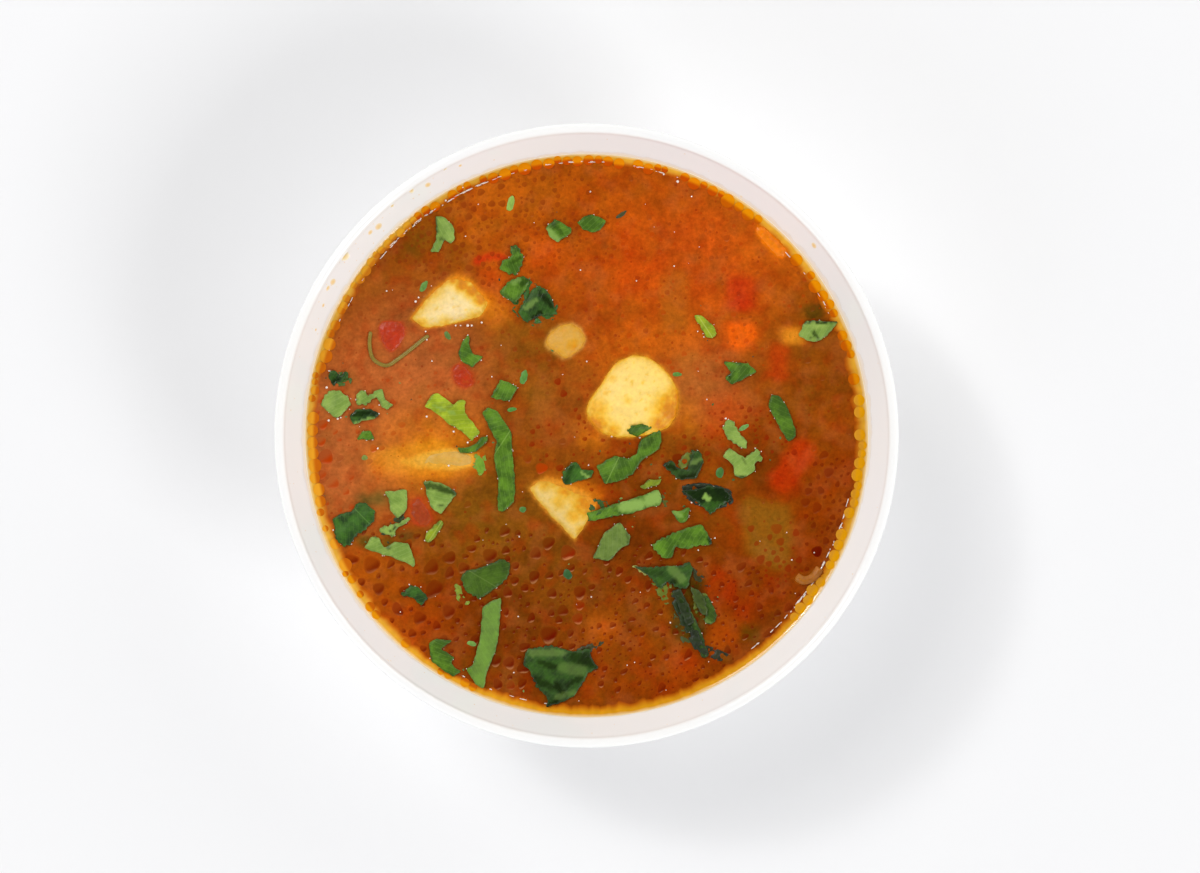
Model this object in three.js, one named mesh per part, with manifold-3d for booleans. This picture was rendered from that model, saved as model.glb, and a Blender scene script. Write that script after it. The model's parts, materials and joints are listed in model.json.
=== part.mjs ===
// A bowl of vegetable sour soup: a round white porcelain bowl, filled to a centimetre below
// its rim with orange-red broth. Potato, tomato, carrot and onion break the surface, and
// chopped coriander floats on it. Millimetres, +Z up, origin under the middle of the foot.
import * as THREE from 'three';
import { mergeVertices } from 'three/addons/utils/BufferGeometryUtils.js';
import { ConvexGeometry } from 'three/addons/geometries/ConvexGeometry.js';
import { TessellateModifier } from 'three/addons/modifiers/TessellateModifier.js';
import Module from 'manifold-3d';

const wasm = await Module();
wasm.setup();

// Driving dimensions of the bowl
const rimRadius = 80;
const bowlHeight = 62;
const lipThickness = 2.6;
const lipRise = 1.3;
const footRadius = 38;
const footRingWidth = 3.4;
const footHeight = 5;
const baseThickness = 4;
const floorRise = 0.4;
const roundSegments = 56;
const innerWallSteps = 17;
const outerWallSteps = 10;
const lipSteps = 6;

// Driving dimensions of the soup and of what lies in it
const soupLevel = 52;
const meniscusRise = 0.5;
const meniscusWidth = 1.8;
const fitGap = 0.3;
const pocketGap = 0.45;
const undersideShrink = 0.22;
const leafThickness = 0.4;
const leafClearance = 0.4;
const leafWave = 0.4;
const leafWaveLength = 9;
const leafEdgeStep = 4.8;
const fleckHeight = 0.35;
const fleckSides = 7;
const stemRadius = 0.55;
const onionCurlRadius = 1.2;

// Pieces are placed as seen from straight above, on a picture whose x runs to the right and
// y towards the viewer, with the bowl's axis at pictureCentre
const pictureCentre = [587, 435];
const mmPerPixel = 0.26;

const looks = {
  porcelain: { color: 0xf4f1ec, roughness: 0.15 },
  broth: { color: 0xa5500f, roughness: 0.2 },
  potato: { color: 0xf3d98a, roughness: 0.5 },
  tomato: { color: 0xc33a1c, roughness: 0.35 },
  carrot: { color: 0xe06a16, roughness: 0.4 },
  onion: { color: 0xc49a5a, roughness: 0.4 },
  stem: { color: 0x8aa03a, roughness: 0.45 },
  leaf_pale: { color: 0x7fa85a, roughness: 0.5 },
  leaf_green: { color: 0x4f8a35, roughness: 0.45 },
  leaf_dark: { color: 0x2c5a2a, roughness: 0.35 },
  leaf_lime: { color: 0x93b23a, roughness: 0.45 },
};

const group = new THREE.Group();

function add(name, look, geometry) {
  const mesh = new THREE.Mesh(geometry, new THREE.MeshStandardMaterial({ ...looks[look], metalness: 0 }));
  mesh.name = name;
  group.add(mesh);
  return mesh;
}

function place(x, y) {
  return new THREE.Vector2((x - pictureCentre[0]) * mmPerPixel, (pictureCentre[1] - y) * mmPerPixel);
}

// Corners of an outline in plan, always anticlockwise
function planOf(outline) {
  const plan = outline.map(([x, y]) => place(x, y));
  return THREE.ShapeUtils.isClockWise(plan) ? plan.reverse() : plan;
}

function middleOf(plan) {
  return plan.reduce((sum, p) => sum.add(p), new THREE.Vector2()).divideScalar(plan.length);
}

function welded(geometry) {
  const bare = geometry.clone();
  bare.deleteAttribute('normal');
  bare.deleteAttribute('uv');
  return mergeVertices(bare, 1e-3);
}

function toManifold(geometry) {
  const bare = welded(geometry);
  const corners = [];
  for (let i = 0; i < bare.index.count; i += 3) {
    const [a, b, c] = [0, 1, 2].map((k) => bare.index.getX(i + k));
    if (a !== b && b !== c && c !== a) corners.push(a, b, c);
  }
  return new wasm.Manifold(new wasm.Mesh({
    numProp: 3,
    vertProperties: new Float32Array(bare.attributes.position.array),
    triVerts: new Uint32Array(corners),
  }));
}

function fromManifold(body) {
  const mesh = body.getMesh();
  const geometry = new THREE.BufferGeometry();
  geometry.setAttribute('position', new THREE.BufferAttribute(mesh.vertProperties, 3));
  geometry.setIndex(new THREE.BufferAttribute(mesh.triVerts, 1));
  return geometry;
}

// The same shape with its skin moved out, for the pocket that the broth leaves round a piece
function grown(geometry, by) {
  const bare = welded(geometry);
  bare.computeVertexNormals();
  const { position, normal } = bare.attributes;
  for (let i = 0; i < position.count; i++) {
    position.setXYZ(
      i,
      position.getX(i) + by * normal.getX(i),
      position.getY(i) + by * normal.getY(i),
      position.getZ(i) + by * normal.getZ(i),
    );
  }
  return bare;
}

// The bowl and its broth are turned round the Z axis
function turned(profile) {
  return new THREE.LatheGeometry(profile, roundSegments).rotateX(Math.PI / 2);
}

function curvePoints(corners, steps) {
  return new THREE.SplineCurve(corners.map(([r, z]) => new THREE.Vector2(r, z))).getSpacedPoints(steps);
}

// Inside of the bowl, from the middle of its floor out and up to the lip
const floorTop = footHeight + baseThickness + floorRise;
const lipFoot = bowlHeight - lipRise;
const innerWall = curvePoints([
  [0, floorTop],
  [24, floorTop + 1],
  [44.5, 17.2],
  [60.4, 31],
  [72.7, soupLevel],
  [rimRadius - lipThickness, lipFoot],
], innerWallSteps);

function bowlProfile() {
  const ringInside = footRadius - footRingWidth;
  const foot = [
    [0, footHeight + floorRise],
    [ringInside - 1.8, footHeight],
    [ringInside - 0.6, footHeight - 1],
    [ringInside - 0.3, 0.5],
    [ringInside + 0.3, 0],
    [footRadius - 0.8, 0],
    [footRadius, 0.7],
  ].map(([r, z]) => new THREE.Vector2(r, z));
  const outerWall = curvePoints([
    [footRadius + 0.6, footHeight],
    [41.5, 8.2],
    [50.8, 15.4],
    [64.4, 29.8],
    [76, 50.5],
    [rimRadius, lipFoot],
  ], outerWallSteps);
  const lip = [];
  for (let i = 1; i < lipSteps; i++) {
    const turn = (Math.PI * i) / lipSteps;
    lip.push(new THREE.Vector2(
      rimRadius - (lipThickness / 2) * (1 - Math.cos(turn)),
      lipFoot + lipRise * Math.sin(turn),
    ));
  }
  return [...foot, ...outerWall, ...lip, ...[...innerWall].reverse()];
}

// The broth follows the inner wall at the fitting gap, and climbs it a little at the edge
function brothProfile() {
  const edgeLevel = soupLevel + meniscusRise;
  const wet = innerWall.filter((p) => p.y < edgeLevel);
  const above = innerWall[wet.length];
  const share = (edgeLevel - wet.at(-1).y) / (above.y - wet.at(-1).y);
  wet.push(wet.at(-1).clone().lerp(above, share));
  const side = wet.map((p, i) => {
    const along = wet[Math.min(i + 1, wet.length - 1)].clone().sub(wet[Math.max(i - 1, 0)]).normalize();
    return new THREE.Vector2(p.x - fitGap * along.y, p.y + fitGap * along.x);
  });
  side[0].x = 0;
  const edge = side.at(-1);
  const meniscus = [
    new THREE.Vector2(edge.x - meniscusWidth / 3, soupLevel + meniscusRise / 3),
    new THREE.Vector2(edge.x - meniscusWidth, soupLevel),
    new THREE.Vector2(0, soupLevel),
  ];
  return [...side, ...meniscus];
}

// A knife-cut chunk: flat facets between its waterline, its crown and a narrower underside.
// Each crown corner is x, y and its height over the broth, below it where negative
function cutChunk({ waterline, crown, depth }) {
  const plan = planOf(waterline);
  const middle = middleOf(plan);
  const corners = plan.map((p) => new THREE.Vector3(p.x, p.y, soupLevel));
  for (const p of plan) {
    const low = p.clone().lerp(middle, undersideShrink);
    corners.push(new THREE.Vector3(low.x, low.y, soupLevel - depth));
  }
  for (const [x, y, height] of crown) {
    const p = place(x, y);
    corners.push(new THREE.Vector3(p.x, p.y, soupLevel + height));
  }
  return new ConvexGeometry(corners);
}

// A boiled piece worn round: a ball stretched to its waterline, its height and its depth
function roundChunk({ waterline, height, depth, fullness = 0.8, sides = 20 }) {
  const plan = planOf(waterline);
  const middle = middleOf(plan);
  const edge = new THREE.CatmullRomCurve3(plan.map((p) => new THREE.Vector3(p.x, p.y, 0)), true);
  const ball = new THREE.SphereGeometry(1, sides, sides / 2);
  const { position, uv } = ball.attributes;
  for (let i = 0; i < position.count; i++) {
    const up = position.getY(i);
    const spread = Math.pow(Math.max(0, 1 - up * up), fullness / 2);
    const rim = edge.getPoint(((uv.getX(i) % 1) + 1) % 1);
    position.setXYZ(
      i,
      middle.x + (rim.x - middle.x) * spread,
      middle.y + (rim.y - middle.y) * spread,
      soupLevel + up * (up > 0 ? height : depth),
    );
  }
  return ball;
}

// A round strand through points of x, y and height over the broth
function strand(route, radius, steps) {
  const path = new THREE.CatmullRomCurve3(route.map(([x, y, height]) => {
    const p = place(x, y);
    return new THREE.Vector3(p.x, p.y, soupLevel + height);
  }));
  const section = new THREE.Shape(new THREE.EllipseCurve(0, 0, radius, radius).getPoints(6).slice(0, 6));
  return new THREE.ExtrudeGeometry(section, { steps, extrudePath: path, bevelEnabled: false });
}

const floating = {
  potato_dome: ['potato', roundChunk({
    waterline: [
      [640, 354], [661, 365], [677, 386], [679, 405], [672, 424], [650, 434],
      [619, 437], [602, 432], [589, 420], [587, 405], [600, 386], [611, 368], [624, 358],
    ],
    height: 3.4,
    depth: 9,
  })],
  potato_triangle: ['potato', cutChunk({
    waterline: [[411, 318], [430, 293], [448, 277], [470, 280], [490, 303], [480, 317], [445, 326], [424, 328]],
    crown: [[455, 286, 1.1], [480, 306, 2], [456, 313, 2.7], [420, 320, 1.2], [462, 268, -1.6], [498, 300, -2]],
    depth: 7,
  })],
  potato_wedge: ['potato', cutChunk({
    waterline: [
      [528, 487], [541, 483], [560, 487], [578, 497], [585, 510], [585, 526], [575, 540], [556, 521], [540, 504],
    ],
    crown: [[537, 489, 1.3], [577, 529, 2.2], [574, 505, 1.2], [545, 474, -0.8], [575, 473, -1.2], [608, 491, -1.6]],
    depth: 8,
  })],
  potato_sunk: ['potato', cutChunk({
    waterline: [[438, 452], [455, 449], [472, 454], [474, 463], [456, 467], [438, 465]],
    crown: [
      [446, 458, 0.7], [468, 458, 0.8], [368, 463, -1], [368, 478, -1.8], [440, 444, -1], [478, 452, -0.8],
      [478, 474, -2], [440, 482, -2.2],
    ],
    depth: 8,
  })],
  potato_bit: ['potato', roundChunk({
    waterline: [[545, 343], [553, 330], [566, 323], [580, 327], [586, 340], [578, 351], [566, 358], [556, 352]],
    height: 1.1,
    depth: 4,
    sides: 16,
  })],
  tomato_upper: ['tomato', roundChunk({
    waterline: [[379, 323], [392, 320], [404, 323], [406, 335], [400, 345], [392, 352], [384, 345], [380, 335]],
    height: 0.7,
    depth: 2.5,
    sides: 12,
  })],
  tomato_middle: ['tomato', roundChunk({
    waterline: [[452, 368], [460, 362], [472, 373], [474, 384], [464, 388], [455, 382]],
    height: 0.5,
    depth: 2.2,
    sides: 12,
  })],
  tomato_lower: ['tomato', roundChunk({
    waterline: [[411, 503], [419, 496], [427, 507], [434, 517], [428, 526], [414, 523]],
    height: 0.4,
    depth: 2.5,
    sides: 12,
  })],
  carrot_stick: ['carrot', cutChunk({
    waterline: [[756, 225], [765, 227], [787, 249], [784, 257], [777, 257], [767, 246], [757, 234]],
    crown: [[761, 230, 0.5], [782, 252, 0.6]],
    depth: 1.6,
  })],
  onion_curl: ['onion', strand([
    [797, 576, 0], [804, 580, 0.2], [813, 577, 0.2], [820, 568, 0],
  ], onionCurlRadius, 8)],
  herb_stem: ['stem', strand([
    [371, 331, 0.1], [370, 345, 0], [374, 359, 0.1], [387, 365, 0], [399, 358, 0.1], [411, 349, 0.2],
    [422, 340, 0.1], [429, 335, 0],
  ], stemRadius, 20)],
};

// Flecks of herb too small for a piece of their own: middle, half length, half width, turn in degrees
const flecks = [
  [424, 286, 6, 3, 60], [511, 203, 8, 3.5, 75], [622, 214, 6, 2, 35], [365, 457, 3, 2.5, 0],
  [480, 464, 9, 5, -75], [524, 377, 7, 3.5, 75], [512, 409, 5, 2.2, 15], [677, 374, 5, 2.2, 5],
  [523, 509, 3.5, 3, 0], [720, 472, 5.5, 4, 80], [568, 574, 5.5, 4, -60], [472, 643, 5, 2.5, -15],
  [448, 335, 5, 2.5, -60], [744, 427, 6, 2.2, 30],
];

function fleckSolid([x, y, halfLength, halfWidth, turn]) {
  const spot = place(x, y);
  return new THREE.CylinderGeometry(0.75, 1, 2 * fleckHeight, fleckSides)
    .rotateX(Math.PI / 2)
    .scale(halfLength * mmPerPixel, halfWidth * mmPerPixel, 1)
    .rotateZ(THREE.MathUtils.degToRad(turn))
    .translate(spot.x, spot.y, soupLevel);
}

function brothSolid() {
  let broth = toManifold(turned(brothProfile()));
  for (const [, geometry] of Object.values(floating)) {
    broth = broth.subtract(toManifold(grown(geometry, pocketGap)));
  }
  for (const fleck of flecks) {
    broth = broth.add(toManifold(fleckSolid(fleck)));
  }
  return fromManifold(broth);
}

// Scraps of chopped coriander, each by its tone and the corners of its cut outline
const leaves = [
  [
    'leaf_pale', [436, 216], [445, 217], [454, 226], [455, 239], [451, 244], [445, 239], [439, 252],
    [431, 251], [437, 238],
  ],
  ['leaf_green', [546, 228], [555, 218], [562, 223], [571, 227], [572, 233], [558, 242], [551, 238]],
  ['leaf_green', [577, 222], [585, 216], [592, 214], [607, 220], [600, 230], [592, 232], [583, 229]],
  [
    'leaf_green', [511, 245], [517, 245], [524, 256], [522, 264], [519, 272], [513, 275], [500, 269],
    [503, 260], [512, 257],
  ],
  ['leaf_green', [500, 292], [509, 281], [522, 276], [530, 279], [529, 285], [516, 303], [508, 299]],
  ['leaf_dark', [534, 287], [545, 288], [551, 295], [558, 314], [543, 315], [526, 322], [518, 312]],
  ['leaf_lime', [694, 315], [700, 314], [712, 324], [718, 333], [713, 339], [706, 336]],
  [
    'leaf_pale', [798, 334], [803, 325], [806, 320], [838, 321], [834, 327], [827, 335], [818, 341],
    [806, 340],
  ],
  [
    'leaf_dark', [330, 370], [337, 371], [341, 375], [344, 371], [349, 371], [349, 378], [337, 382],
    [334, 386], [329, 377],
  ],
  [
    'leaf_pale', [321, 404], [325, 395], [331, 390], [341, 390], [348, 396], [352, 404], [344, 412],
    [338, 418], [329, 412],
  ],
  [
    'leaf_pale', [357, 404], [357, 394], [364, 389], [367, 392], [367, 397], [376, 390], [383, 388], [386, 399],
    [394, 404], [388, 409], [382, 407], [381, 402], [376, 396], [366, 404],
  ],
  [
    'leaf_dark', [350, 415], [357, 409], [369, 408], [378, 411], [379, 414], [374, 419], [363, 420],
    [354, 425],
  ],
  ['leaf_green', [357, 439], [362, 431], [372, 430], [375, 439]],
  [
    'leaf_lime', [425, 406], [433, 393], [439, 393], [454, 405], [459, 399], [466, 400], [465, 412], [471, 419],
    [480, 432], [472, 441], [464, 432], [447, 422], [438, 413],
  ],
  [
    'leaf_green', [458, 447], [472, 446], [482, 437], [489, 435], [487, 442], [476, 451], [466, 453],
    [459, 451],
  ],
  ['leaf_pale', [385, 491], [407, 489], [408, 509], [398, 518], [391, 511], [389, 498]],
  ['leaf_pale', [424, 481], [431, 480], [449, 486], [457, 493], [447, 507], [441, 514], [430, 505]],
  ['leaf_lime', [441, 519], [445, 523], [431, 542], [425, 540], [427, 532]],
  [
    'leaf_dark', [333, 518], [341, 513], [352, 511], [357, 503], [366, 503], [376, 510], [375, 520], [367, 528],
    [354, 537], [351, 544], [345, 545], [337, 540],
  ],
  [
    'leaf_pale', [379, 531], [383, 526], [391, 525], [398, 523], [409, 516], [411, 519], [396, 529],
    [394, 536],
  ],
  [
    'leaf_pale', [364, 547], [372, 536], [380, 537], [384, 547], [395, 542], [409, 542], [416, 563], [414, 567],
    [398, 558], [381, 553],
  ],
  ['leaf_dark', [401, 594], [411, 585], [420, 587], [428, 597], [422, 606], [415, 598]],
  [
    'leaf_green', [461, 576], [468, 570], [481, 567], [503, 558], [511, 563], [509, 575], [500, 585],
    [481, 598], [466, 591],
  ],
  [
    'leaf_green', [483, 606], [492, 600], [501, 597], [501, 611], [499, 635], [496, 650], [488, 670], [484, 688],
    [476, 684], [466, 668], [473, 664], [480, 641], [482, 620],
  ],
  [
    'leaf_green', [429, 643], [436, 638], [453, 640], [441, 648], [455, 657], [451, 663], [461, 671],
    [453, 676], [432, 661],
  ],
  [
    'leaf_dark', [527, 649], [551, 645], [572, 651], [590, 648], [592, 658], [599, 667], [588, 673], [581, 686],
    [574, 695], [562, 702], [546, 706], [549, 699], [536, 684], [530, 670], [523, 664],
  ],
  [
    'leaf_green', [491, 397], [497, 386], [500, 379], [508, 382], [518, 386], [514, 394], [510, 401],
    [500, 399],
  ],
  [
    'leaf_green', [482, 412], [488, 407], [497, 410], [503, 418], [511, 430], [514, 465], [516, 489], [514, 502],
    [504, 511], [498, 510], [499, 480], [494, 458], [497, 442], [490, 427],
  ],
  ['leaf_green', [627, 430], [631, 425], [646, 423], [653, 427], [645, 432], [638, 436], [630, 434]],
  [
    'leaf_green', [657, 428], [662, 431], [661, 442], [660, 449], [652, 453], [641, 461], [633, 474], [620, 480],
    [605, 484], [597, 465], [615, 455], [628, 458], [637, 453], [639, 443], [643, 438], [650, 435],
  ],
  [
    'leaf_dark', [563, 482], [564, 471], [571, 463], [577, 461], [582, 469], [594, 470], [591, 477],
    [575, 482], [565, 485],
  ],
  [
    'leaf_green', [587, 512], [608, 506], [623, 501], [659, 489], [662, 497], [661, 505], [651, 506], [633, 512],
    [608, 517], [589, 521],
  ],
  ['leaf_lime', [640, 486], [648, 480], [663, 478], [660, 483], [644, 489]],
  [
    'leaf_green', [724, 361], [741, 355], [746, 360], [757, 371], [746, 378], [732, 384], [726, 378],
    [731, 372],
  ],
  [
    'leaf_green', [768, 406], [772, 394], [781, 396], [787, 406], [795, 427], [796, 436], [789, 442],
    [781, 429],
  ],
  [
    'leaf_pale', [728, 419], [733, 420], [738, 431], [747, 440], [747, 449], [738, 445], [727, 437],
    [723, 426],
  ],
  [
    'leaf_pale', [723, 456], [729, 447], [736, 452], [745, 458], [751, 453], [758, 448], [763, 460], [755, 461],
    [755, 469], [750, 474], [742, 478], [735, 476], [733, 464],
  ],
  [
    'leaf_dark', [662, 464], [672, 460], [679, 468], [688, 469], [692, 450], [701, 452], [704, 462],
    [697, 478], [679, 479],
  ],
  [
    'leaf_dark', [681, 490], [701, 488], [707, 485], [724, 487], [731, 494], [730, 500], [720, 506], [711, 514],
    [704, 507], [689, 496],
  ],
  ['leaf_green', [671, 510], [681, 510], [688, 507], [691, 508], [687, 520], [680, 523], [676, 518]],
  [
    'leaf_pale', [592, 558], [599, 545], [604, 533], [620, 521], [630, 534], [630, 544], [622, 547],
    [610, 560],
  ],
  [
    'leaf_green', [652, 545], [659, 539], [668, 535], [687, 527], [702, 524], [710, 536], [713, 544], [693, 545],
    [690, 549], [676, 546], [672, 557], [664, 558],
  ],
  [
    'leaf_dark', [633, 565], [647, 567], [667, 565], [681, 565], [690, 561], [693, 567], [690, 578], [688, 587],
    [679, 588], [668, 581], [661, 588], [649, 575],
  ],
  [
    'leaf_dark', [676, 594], [681, 596], [689, 606], [697, 621], [704, 638], [709, 655], [703, 657],
    [696, 643], [681, 614],
  ],
  ['leaf_green', [704, 594], [709, 596], [715, 608], [717, 618], [711, 625], [705, 621], [706, 609]],
  [
    'leaf_green', [459, 354], [462, 341], [469, 334], [470, 345], [473, 354], [484, 356], [472, 367],
    [463, 361],
  ],
];

const downward = new THREE.Vector3(0, 0, -1);
const rayCaster = new THREE.Raycaster();

// Height of the highest surface under a point in plan, never down in the gap round a piece
function surfaceUnder(x, y, meshes) {
  rayCaster.set(new THREE.Vector3(x, y, bowlHeight), downward);
  const [hit] = rayCaster.intersectObjects(meshes, false);
  return hit ? Math.max(soupLevel, hit.point.z) : soupLevel;
}

// A thin wavy sheet draped on what is under it, its two faces split into the same triangles
function leafSolid(outline, phase, under) {
  const flat = new THREE.ShapeGeometry(new THREE.Shape(planOf(outline)));
  const face = welded(new TessellateModifier(leafEdgeStep, 6).modify(flat.toNonIndexed()));
  const { position } = face.attributes;
  const count = position.count;
  const corners = [];
  for (const thickness of [leafThickness, 0]) {
    for (let i = 0; i < count; i++) {
      const [x, y] = [position.getX(i), position.getY(i)];
      const along = x * Math.cos(phase) + y * Math.sin(phase);
      const swing = Math.sin((2 * Math.PI * along) / leafWaveLength + phase);
      const lift = leafClearance + (leafWave / 2) * (1 + swing);
      corners.push(x, y, surfaceUnder(x, y, under) + lift + thickness);
    }
  }
  const sides = new Map();
  const triangles = [];
  for (let i = 0; i < face.index.count; i += 3) {
    const trio = [0, 1, 2].map((k) => face.index.getX(i + k));
    const [a, b, c] = trio;
    triangles.push(a, b, c, c + count, b + count, a + count);
    trio.forEach((from, k) => sides.set(`${from} ${trio[(k + 1) % 3]}`, [from, trio[(k + 1) % 3]]));
  }
  for (const [from, to] of sides.values()) {
    if (sides.has(`${to} ${from}`)) continue;
    triangles.push(from + count, to + count, to, from + count, to, from);
  }
  const sheet = new THREE.BufferGeometry();
  sheet.setAttribute('position', new THREE.Float32BufferAttribute(corners, 3));
  sheet.setIndex(triangles);
  return sheet;
}

add('bowl', 'porcelain', turned(bowlProfile()));
const carriers = [add('soup', 'broth', brothSolid())];
for (const [name, [look, geometry]] of Object.entries(floating)) {
  carriers.push(add(name, look, geometry));
}
leaves.forEach(([look, ...outline], i) => {
  const number = String(i + 1).padStart(2, '0');
  add(`leaf_${number}`, look, leafSolid(outline, 1.7 * i, carriers));
});

export default group;
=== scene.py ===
import json
import math
import random

import bpy
import numpy as np
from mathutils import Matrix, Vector, geometry, noise
from mathutils.bvhtree import BVHTree
from mathutils.kdtree import KDTree


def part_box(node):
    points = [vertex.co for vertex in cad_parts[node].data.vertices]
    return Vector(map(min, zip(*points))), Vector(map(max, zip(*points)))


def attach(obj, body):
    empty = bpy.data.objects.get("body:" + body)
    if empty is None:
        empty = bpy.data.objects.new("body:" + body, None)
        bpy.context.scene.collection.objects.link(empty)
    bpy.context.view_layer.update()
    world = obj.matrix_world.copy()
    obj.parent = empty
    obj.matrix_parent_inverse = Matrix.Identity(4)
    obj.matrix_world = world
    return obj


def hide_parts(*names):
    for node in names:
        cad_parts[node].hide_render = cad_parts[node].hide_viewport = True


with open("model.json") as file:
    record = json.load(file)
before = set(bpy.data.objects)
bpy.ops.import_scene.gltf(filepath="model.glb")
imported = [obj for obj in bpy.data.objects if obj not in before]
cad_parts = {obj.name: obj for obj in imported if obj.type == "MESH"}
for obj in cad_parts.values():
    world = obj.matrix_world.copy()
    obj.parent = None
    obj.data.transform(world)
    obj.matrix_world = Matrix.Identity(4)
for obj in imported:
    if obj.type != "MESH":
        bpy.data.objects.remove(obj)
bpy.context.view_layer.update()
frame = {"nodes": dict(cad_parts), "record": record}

# Bowl. A round soup bowl of white porcelain, turned on a wheel, dipped in clear glaze and fired
# standing on its foot ring. Its wall is smooth and glossy, and the lip is a plain round edge.
mm = 0.001
rim_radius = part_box("bowl")[1][0]
bowl_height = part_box("bowl")[1][2]
meniscus_rise = 0.5 * mm
soup_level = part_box("soup")[1][2] - meniscus_rise
lip_thickness = 2.6 * mm
lip_rise = 1.3 * mm
bowl_sides = 288
bowl_steps = 7
foot_profile = [(0, 5.4), (32.8, 5), (34, 4.1), (34.3, 0.5), (34.9, 0), (37.2, 0), (38, 0.7), (38.3, 3.6)]
outer_profile = [(38.6, 5), (41.5, 8.2), (50.8, 15.4), (64.4, 29.8), (76, 50.5), (80, 60.7)]
inner_profile = [(0, 9.4), (24, 10.4), (44.5, 17.2), (60.4, 31), (72.7, 52), (77.4, 60.7)]


def smooth_curve(corners, steps, closed=False):
    """Points of a Catmull-Rom curve through the corners, with that many steps for each stretch."""
    corners = np.array(corners, dtype=float)
    count = len(corners)
    points = []
    for i in range(count if closed else count - 1):
        if closed:
            before, start, end, after = (corners[(i + k) % count] for k in (-1, 0, 1, 2))
        else:
            before, start, end, after = (corners[min(max(i + k, 0), count - 1)] for k in (-1, 0, 1, 2))
        for t in np.arange(steps) / steps:
            points.append(0.5 * (
                2 * start + (end - before) * t + (2 * before - 5 * start + 4 * end - after) * t**2
                + (3 * start - before - 3 * end + after) * t**3
            ))
    if not closed:
        points.append(corners[-1])
    return np.array(points)


def revolved(profile, sides):
    """Corners and faces of a profile of radius and height, turned round the bowl's axis."""
    corners = []
    faces = []
    rings = []
    for radius, height in profile:
        turns = sides if radius > 1e-6 else 1
        rings.append([len(corners) + i for i in range(turns)])
        for i in range(turns):
            angle = 2 * math.pi * i / sides
            corners.append((radius * math.cos(angle), radius * math.sin(angle), height))
    for low, high in zip(rings, rings[1:]):
        for i in range(sides):
            quad = [ring[k % len(ring)] for ring, k in ((low, i), (low, i + 1), (high, i + 1), (high, i))]
            faces.append(list(dict.fromkeys(quad)))
    return corners, faces


def new_piece(name, corners, faces, finish, slot, *nodes):
    """A smooth-shaded piece of the object, which stands for those CAD nodes."""
    mesh = bpy.data.meshes.new(name)
    mesh.from_pydata([tuple(c) for c in corners], [], faces)
    mesh.shade_smooth()
    mesh.materials.append(finish)
    piece = bpy.data.objects.new(name, mesh)
    bpy.context.scene.collection.objects.link(piece)
    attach(piece, "root")
    if nodes:
        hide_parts(*nodes)
    return piece


def linear(colour):
    """Linear red, green and blue of an sRGB hex colour."""
    parts = [int(colour[i:i + 2], 16) / 255 for i in (1, 3, 5)]
    return np.array([p / 12.92 if p <= 0.04045 else ((p + 0.055) / 1.055) ** 2.4 for p in parts])


def paint(colour):
    """The same colour at full opacity, for a node's socket."""
    return (*linear(colour), 1)


def new_finish(name, **settings):
    """A material with one Principled shader. Settings are its sockets, with _ for a space."""
    finish = bpy.data.materials.new(name)
    finish.use_nodes = True
    shader = finish.node_tree.nodes["Principled BSDF"]
    for socket, value in settings.items():
        shader.inputs[socket.replace("_", " ")].default_value = value
    return finish, finish.node_tree, shader


def add(tree, kind, settings=(), links=()):
    """Adds a node: its settings are its own or its sockets' values, its links go to its sockets."""
    node = tree.nodes.new("ShaderNode" + kind)
    for key, value in dict(settings).items():
        if isinstance(key, str) and hasattr(node, key):
            setattr(node, key, value)
        else:
            node.inputs[key].default_value = value
    for key, source in dict(links).items():
        tree.links.new(source, node.inputs[key])
    return node


# Fired porcelain under clear glaze: a cool white with a mirror-like skin that is very slightly uneven
porcelain, tree, shader = new_finish("glazed_white_porcelain", Roughness=0.1, IOR=1.5)
place = add(tree, "TexCoord").outputs["Object"]
glaze_pooling = add(tree, "TexNoise", {"Scale": 1 / (22 * mm), "Detail": 2.0}, {"Vector": place})
glaze_tone = add(tree, "Mix", {"data_type": "RGBA", 6: paint("#F5F5F6"), 7: paint("#F9F8F4")},
                 {0: glaze_pooling.outputs["Fac"]})
glaze_skin = add(tree, "Bump", {"Strength": 0.15, "Distance": 0.2 * mm},
                 {"Height": glaze_pooling.outputs["Fac"]})
tree.links.new(glaze_tone.outputs[2], shader.inputs["Base Color"])
tree.links.new(glaze_skin.outputs["Normal"], shader.inputs["Normal"])

outer_wall = smooth_curve(outer_profile, bowl_steps) * mm
inner_wall = smooth_curve(inner_profile, bowl_steps) * mm
lip_foot = bowl_height - lip_rise
lip = [
    (rim_radius - lip_thickness / 2 * (1 - math.cos(turn)), lip_foot + lip_rise * math.sin(turn))
    for turn in np.linspace(0, math.pi, 13)[1:-1]
]
bowl_profile = [*(np.array(foot_profile) * mm), *outer_wall, *lip, *inner_wall[::-1]]
new_piece("porcelain_bowl", *revolved(bowl_profile, bowl_sides), porcelain, "porcelain", "bowl")


# Splashes on the wall. Small drops of red oil that dried on the porcelain above the soup when it was
# poured: flat beads up to two millimetres across, so thin that they look yellow on the white.
picture_centre = (587, 435)
seen_pixel = 0.26 * mm
splash_places = [
    # middle x and y in the picture, and reach in mm
    (430, 187, 0.7), (414, 193, 0.55), (447, 171, 0.5), (462, 168, 0.4), (381, 228, 0.9), (373, 234, 0.6),
    (348, 258, 0.95), (336, 283, 0.8), (331, 289, 0.6), (326, 306, 0.4), (395, 208, 0.4), (812, 247, 0.7),
    (741, 197, 0.4), (757, 181, 0.3), (318, 330, 0.3),
]
splash_spread = 1.3
splash_height = 0.05 * mm
splash_middle, splash_edge = linear("#F8D690"), linear("#FAF0DC")
fine_splashes = 90
fine_reach = (0.12, 0.26)
fine_height = 0.03 * mm
fine_colour = linear("#F3E2CC")
splashed_radius = (74.2, 78.3)


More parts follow.
